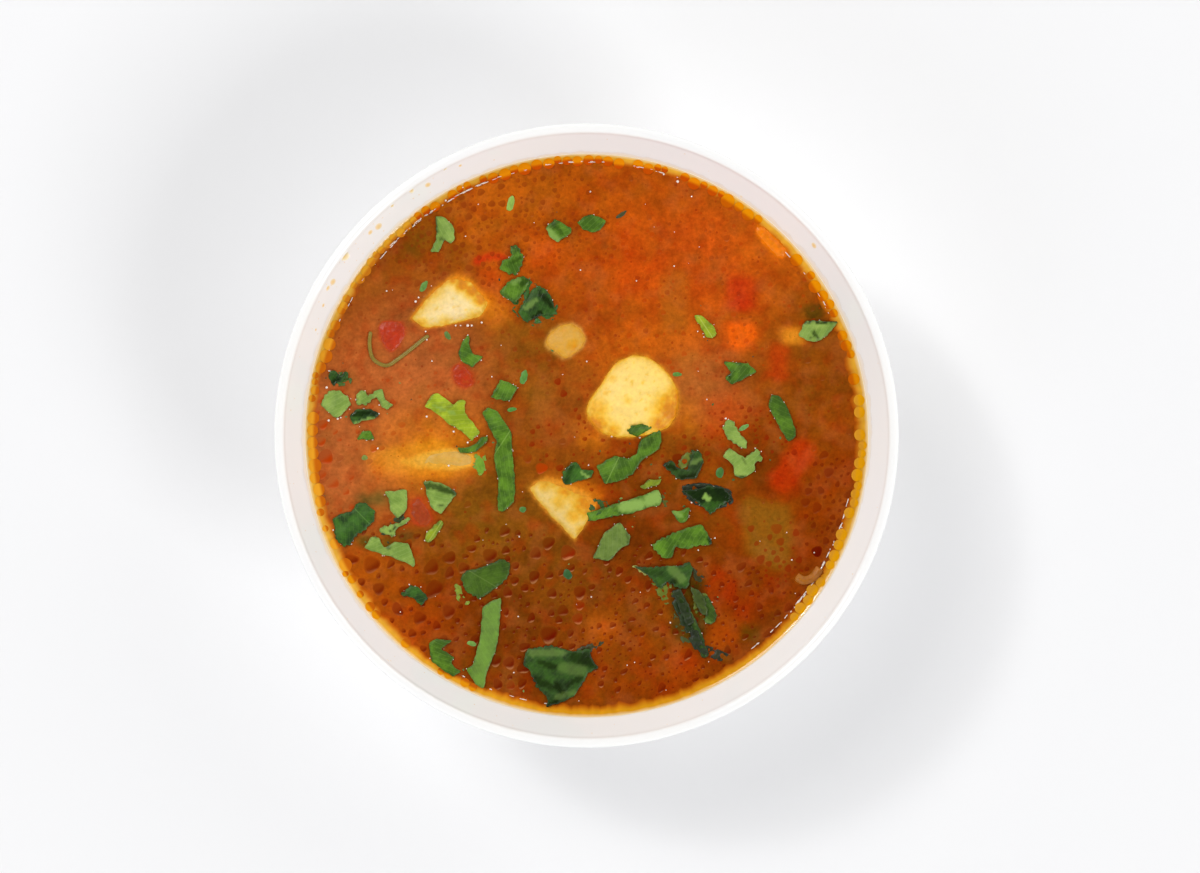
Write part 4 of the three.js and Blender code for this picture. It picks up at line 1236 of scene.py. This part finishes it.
# Herb stem and flecks. One thin coriander stalk lies in a hook on the broth, and crumbs of leaf from
# the chopping board float between the scraps.
stem_route = [(371, 331), (370, 345), (374, 359), (387, 365), (399, 358), (411, 349), (422, 340), (429, 335)]
stem_radius = 0.5 * mm
stem_lift = 0.12 * mm
stem_sides = 8
flecks = [
    # middle x, y, half length and half width in pixels, turn in degrees, and green
    (424, 286, 6, 3, 60, "#5E8A3A"), (511, 203, 8, 3.5, 75, "#8DB04A"), (622, 214, 6, 2, 35, "#3F4420"),
    (365, 457, 3, 2.5, 0, "#7A8A3A"), (480, 464, 9, 5, -75, "#6E9A28"), (524, 377, 7, 3.5, 75, "#558A38"),
    (512, 409, 5, 2.2, 15, "#4C8A34"), (677, 374, 5, 2.2, 5, "#5A8A34"), (523, 509, 3.5, 3, 0, "#4A7A34"),
    (720, 472, 5.5, 4, 80, "#3E6E2C"), (568, 574, 5.5, 4, -60, "#2E5A2A"), (472, 643, 5, 2.5, -15, "#6E9A40"),
    (448, 335, 5, 2.5, -60, "#5A7A34"), (744, 427, 6, 2.2, 30, "#6A9A4A"),
]
fleck_height, fleck_top = 0.3 * mm, 0.16 * mm
crumb_count = 70
crumb_greens = ("#3A5A22", "#55763A", "#2E3414", "#6E8A40")
wilted_scraps = [
    # green of each, how far it stands out of the broth in mm, and its outline in the picture
    ("#5C6616", 0.0, [
        (650, 578), (662, 572), (668, 567), (672, 575), (671, 587), (676, 603), (666, 604), (657, 592),
    ]),
    ("#8C8C40", 0.1, [(632, 565), (640, 566), (650, 572), (647, 576), (638, 569)]),
    ("#1C2C0A", 0.1, [
        (674, 588), (685, 597), (688, 616), (698, 640), (706, 652), (694, 648), (677, 613), (672, 600),
    ]),
    ("#56600F", 0.0, [(693, 589), (707, 593), (715, 610), (719, 618), (704, 619), (694, 610)]),
    ("#2A2C08", 0.0, [(692, 566), (704, 576), (711, 586), (696, 584)]),
    ("#3C441A", -0.05, [(674, 612), (690, 632), (700, 648), (687, 648), (676, 631)]),
    ("#24260C", 0.05, [(699, 648), (709, 656), (720, 661), (730, 654), (720, 650), (707, 645)]),
    ("#5E661C", 0.05, [(686, 452), (698, 452), (704, 462), (698, 469), (690, 464), (682, 470), (678, 462)]),
    ("#1A2410", 0.1, [
        (680, 486), (700, 482), (718, 485), (731, 489), (734, 502), (722, 508), (700, 506), (688, 499),
    ]),
    ("#4C4E14", -0.05, [(662, 492), (672, 494), (671, 507), (660, 506)]),
    ("#2E5418", 0.0, [
        (510, 280), (530, 280), (545, 289), (558, 305), (556, 318), (540, 323), (526, 323), (512, 309),
    ]),
    ("#2E3C18", 0.05, [(379, 535), (389, 525), (398, 516), (405, 512), (402, 523), (392, 533)]),
    ("#7A8A26", 0.05, [(455, 583), (462, 585), (463, 595), (471, 602), (466, 606), (457, 598)]),
    ("#34300C", 0.0, [(576, 649), (599, 640), (605, 642), (591, 651), (585, 664)]),
    ("#3E5A1C", 0.0, [(352, 372), (338, 371), (334, 377), (338, 386), (352, 384)]),
    ("#2C4A16", 0.0, [(594, 498), (586, 512), (588, 521), (626, 513), (622, 504)]),
    ("#6E8A26", 0.0, [(476, 452), (486, 456), (488, 468), (480, 476), (473, 466)]),
    ("#22300E", 0.6, [(672, 590), (680, 588), (690, 606), (694, 622), (688, 626), (678, 606)]),
    ("#1C280C", 0.6, [(690, 628), (698, 630), (704, 646), (708, 654), (700, 652), (692, 640)]),
    ("#3A4A14", 0.6, [(690, 585), (700, 590), (706, 600), (708, 616), (700, 612), (694, 598)]),
]

# Coriander stalk: juicy, ribbed lengthwise and yellow-green, a little glossy where it is wet
stalk, tree, shader = new_finish("coriander_stalk", Roughness=0.35, IOR=1.42)
place = add(tree, "TexCoord").outputs["Object"]
ribs = add(tree, "TexNoise", {"Scale": 1 / (1.6 * mm), "Detail": 2.0}, {"Vector": place})
stalk_green = add(tree, "Mix", {"data_type": "RGBA", 6: paint("#96802E"), 7: paint("#7A6820")},
                  {0: ribs.outputs["Fac"]})
tree.links.new(stalk_green.outputs[2], shader.inputs["Base Color"])
route = smooth_curve([(*seen_at(x, y), soup_level + stem_lift) for x, y in stem_route], 6)
corners = []
for i, point in enumerate(route):
    course = route[min(i + 1, len(route) - 1)] - route[max(i - 1, 0)]
    aside = np.array((-course[1], course[0], 0)) / np.hypot(course[0], course[1])
    taper = 0.55 if i in (0, len(route) - 1) else 1
    for k in range(stem_sides):
        turn = 2 * math.pi * k / stem_sides
        around = aside * math.cos(turn) + np.array((0, 0, 1)) * math.sin(turn)
        corners.append(point + taper * stem_radius * around)
faces = [
    (i * stem_sides + k, (i + 1) * stem_sides + k, (i + 1) * stem_sides + (k + 1) % stem_sides,
     i * stem_sides + (k + 1) % stem_sides)
    for i in range(len(route) - 1) for k in range(stem_sides)
]
faces += [tuple(range(stem_sides)), tuple(range(len(corners) - 1, len(corners) - 1 - stem_sides, -1))]
new_piece("coriander_stem", corners, faces, stalk, "stem", "herb_stem")

# Crumbs of coriander: the same leaf, bruised by the knife, so darker and duller
leaf_crumb = toned_finish("coriander_crumb", Roughness=0.45, IOR=1.42)

random.seed(8)
crumbs = Heap()
for x, y, half_length, half_width, turn, green in flecks:
    spot = seen_at(x, y)
    corners, faces, _ = lens(
        half_width * seen_pixel, fleck_height, 18, 4, half_length / half_width, math.radians(turn),
    )
    for corner in corners:
        corner[:2] *= 1 + 0.28 * noise.noise(Vector(corner) / (0.9 * mm) + Vector((x, y, 0)))
        corner[2] = min(corner[2], fleck_top)
    tones = np.array([linear(green) * (1 + 0.3 * noise.noise(Vector(c) / (0.6 * mm))) for c in corners])
    crumbs.put(corners + (*spot, soup_level + 0.05 * mm), faces, tones)
for green, lift, outline in wilted_scraps:
    torn = anticlockwise(np.array([seen_at(x, y) for x, y in outline]))
    edge = nibbled(torn, len(crumbs.corners), True)
    plan, faces = sheet_plan(edge)
    crumple = [noise.fractal(Vector((x, y, 0)) / (1.5 * mm), 0.8, 2.0, 3) for x, y in plan]
    upper = [(x, y, broth_height(x, y) + (lift + 0.45 * fold) * mm) for (x, y), fold in zip(plan, crumple)]
    # lighter on the raised folds and darker in the hollows of the crumple: painted shade
    tones = [linear(green) * (1 + 0.7 * fold) for fold in crumple]
    crumbs.put(*thin_sheet(upper, faces), np.array(tones * 2))
for _ in range(crumb_count):
    edge = random.choice(leaf_edges)
    x, y = random.choice(edge) + np.array((random.gauss(0, 3), random.gauss(0, 3))) * mm
    if math.hypot(x, y) < edge_radius - 3 * mm:
        reach, turn = random.uniform(0.1, 0.28) * mm, random.uniform(0, math.pi)
        corners, faces, _ = lens(reach, 0.1 * mm, 7, 1, 1.6, turn)
        green = linear(random.choice(crumb_greens))
        crumbs.put(corners + (x, y, broth_height(x, y)), faces, green)
crumbs.piece("coriander_crumbs", leaf_crumb, "leaf_green")


# Air bubbles with painted glints. Tiny beads cling to the edges of the leaves, the potato and the oil,
# and each is painted near white to show as the bright point of a bubble's glint.
painted_glint_white = "#F4E6DA"
leaf_glints = 4
loose_glints = 70
glints = [
    # where a painted glint bead sits between pieces, at a bubble's brightest glint: x, y in the picture and
    # reach in mm
    (416, 301, 0.4), (419, 297, 0.3), (426, 331, 0.3), (427, 339, 0.35), (456, 325, 0.3), (461, 325, 0.25),
    (468, 325, 0.45), (472, 325, 0.35), (482, 322, 0.35), (465, 316, 0.2), (396, 338, 0.4), (587, 361, 0.25),
    (529, 316, 0.4), (446, 200, 0.35), (454, 196, 0.35), (463, 187, 0.35), (437, 205, 0.35), (421, 218, 0.3),
    (678, 181, 0.45), (664, 174, 0.3), (692, 196, 0.25), (329, 420, 0.4), (341, 417, 0.3), (427, 416, 0.35),
    (454, 431, 0.35), (468, 442, 0.35), (449, 465, 0.35), (378, 448, 0.3), (327, 387, 0.4), (338, 418, 0.4),
    (640, 437, 0.3), (617, 424, 0.25), (612, 436, 0.25), (726, 418, 0.35), (632, 503, 0.3), (702, 497, 0.3),
]
glint_arcs = [
    # white beads in chains along the meniscus, as painted glints: angles in degrees where a chain starts
    # and ends, how far in from the wall in mm, how many beads it has and how tall they are in mm
    (138, 99, 2.3, 46, 0.34), (99, 70, 2.0, 20, 0.34), (162, 138, 2.5, 8, 0.3),
    (-14, -52, 3.1, 60, 0.08), (45, 20, 2.6, 6, 0.3), (-90, -120, 2.6, 5, 0.08),
]

# Film of a wet bubble, with the white of the lamps that it would mirror painted into its base colour
glint_bead_finish, tree, shader = new_finish("glint_bead_finish", Roughness=0.08, IOR=1.34)
shader.inputs["Base Color"].default_value = paint(painted_glint_white)
random.seed(33)
glint_beads = Heap()
spots = [
    random.choice(edge) * random.uniform(0.99, 1.01)
    for edge in leaf_edges for _ in range(leaf_glints)
]
spots += [
    np.array((math.cos(t), math.sin(t))) * edge_radius * math.sqrt(random.uniform(0, 0.95))
    for t in (random.uniform(0, 2 * math.pi) for _ in range(loose_glints))
]
spots = [(x, y, random.uniform(0.09, 0.22)) for x, y in spots]
spots += [(*seen_at(x, y), 0.8 * reach) for x, y, reach in glints]
for x, y, reach in spots:
    reach *= mm
    corners, faces, _ = lens(reach, 0.8 * reach, 8, 3)
    glint_beads.put(corners + (x, y, broth_height(x, y) + 0.02 * mm), faces, linear(painted_glint_white))
for start, end, inset, count, tall in glint_arcs:
    for _ in range(count):
        angle = math.radians(random.uniform(start, end))
        radius = edge_radius - (inset + random.gauss(0, 0.12)) * mm
        x, y = radius * math.cos(angle), radius * math.sin(angle)
        reach = random.uniform(0.08, 0.15) * mm
        corners, faces, _ = lens(reach, tall * mm, 10, 3, random.uniform(1, 9), angle + math.pi / 2)
        glint_beads.put(corners + (x, y, broth_height(x, y) + 0.06 * mm), faces, linear(painted_glint_white))
glint_beads.piece("painted_glint_beads", glint_bead_finish, "broth")


# Studio. A wide white floor, a large soft panel at the upper left, a smaller one at the lower right,
# a small bright lamp for the glints, two weak panels for the wall, and a camera straight above.
floor_half = 2.5
floor_mesh = bpy.data.meshes.new("studio_floor")
floor_corners = [(floor_half * x, floor_half * y, 0) for x, y in ((-1, -1), (1, -1), (1, 1), (-1, 1))]
floor_mesh.from_pydata(floor_corners, [], [(0, 1, 2, 3)])
floor = bpy.data.objects.new("studio_floor", floor_mesh)
bpy.context.scene.collection.objects.link(floor)
floor_paint, tree, shader = new_finish("white_studio_floor", Roughness=0.8)
shader.inputs["Base Color"].default_value = paint("#F1F1F2")
floor_mesh.materials.append(floor_paint)


def panel(name, x, y, z, size, brightness, colour):
    """A square area lamp that faces the bowl. Brightness 1 makes it look as a white floor does."""
    lamp = bpy.data.lights.new(name, "AREA")
    lamp.size = size
    lamp.energy = brightness * math.pi * size * size
    lamp.color = linear(colour)
    holder = bpy.data.objects.new(name, lamp)
    holder.location = (x, y, z)
    holder.rotation_euler = Vector((-x, -y, bowl_height - z)).to_track_quat("-Z", "Y").to_euler()
    bpy.context.scene.collection.objects.link(holder)


panels = [
    # name, place and size in metres, brightness and colour
    ("key_panel", -1.85, 1.85, 3.55, 1.6, 6.1, "#FFFDFA"),
    ("fill_panel", 2.4, -2.0, 2.6, 1.3, 9.7, "#FFFFFF"),
    ("glint_lamp", -1.35, 1.1, 2.1, 0.28, 34, "#FFFFFF"),
    ("left_bounce", -2.1, -2.1, 2.3, 1.2, 2.0, "#E2EBFF"),
    ("right_bounce", 2.2, 1.9, 2.3, 1.2, 2.0, "#FFFFFF"),
]
for row in panels:
    panel(*row)

# The room: a pale horizon, bright walls above it and a dark ceiling, so the white bowl stands out
# from the side and the flat broth mirrors next to nothing from above
world = bpy.data.worlds.new("studio_room")
world.use_nodes = True
room = world.node_tree
toward = add(room, "SeparateXYZ", {}, {0: add(room, "TexCoord").outputs["Generated"]})
up_the_walls = add(room, "MapRange", {1: 0.0, 2: 0.28, 3: 0.66, 4: 1.7}, {0: toward.outputs["Z"]})
to_the_ceiling = add(room, "MapRange", {1: 0.2, 2: 0.9, 3: 1.6, 4: 0.02}, {0: toward.outputs["Z"]})
room_light = add(room, "Math", {"operation": "MINIMUM"},
                 {0: up_the_walls.outputs[0], 1: to_the_ceiling.outputs[0]})
room.nodes["Background"].inputs["Color"].default_value = paint("#FFFFFF")
room.links.new(room_light.outputs[0], room.nodes["Background"].inputs["Strength"])
bpy.context.scene.world = world
bpy.context.scene.view_settings.view_transform = "Standard"

photo_width = 1200
rim_pixel = 0.2558 * mm
camera_reach = 610 * mm
bowl_left_of_middle = 13.5
bowl_over_middle = 1
lens_width = 36
camera_data = bpy.data.cameras.new("photo_camera")
camera_data.sensor_width = lens_width
camera_data.lens = lens_width * camera_reach / (photo_width * rim_pixel)
camera_data.clip_start = 0.01
camera = bpy.data.objects.new("photo_camera", camera_data)
camera.location = (bowl_left_of_middle * rim_pixel, -bowl_over_middle * rim_pixel, bowl_height + camera_reach)
bpy.context.scene.collection.objects.link(camera)
bpy.context.scene.camera = camera
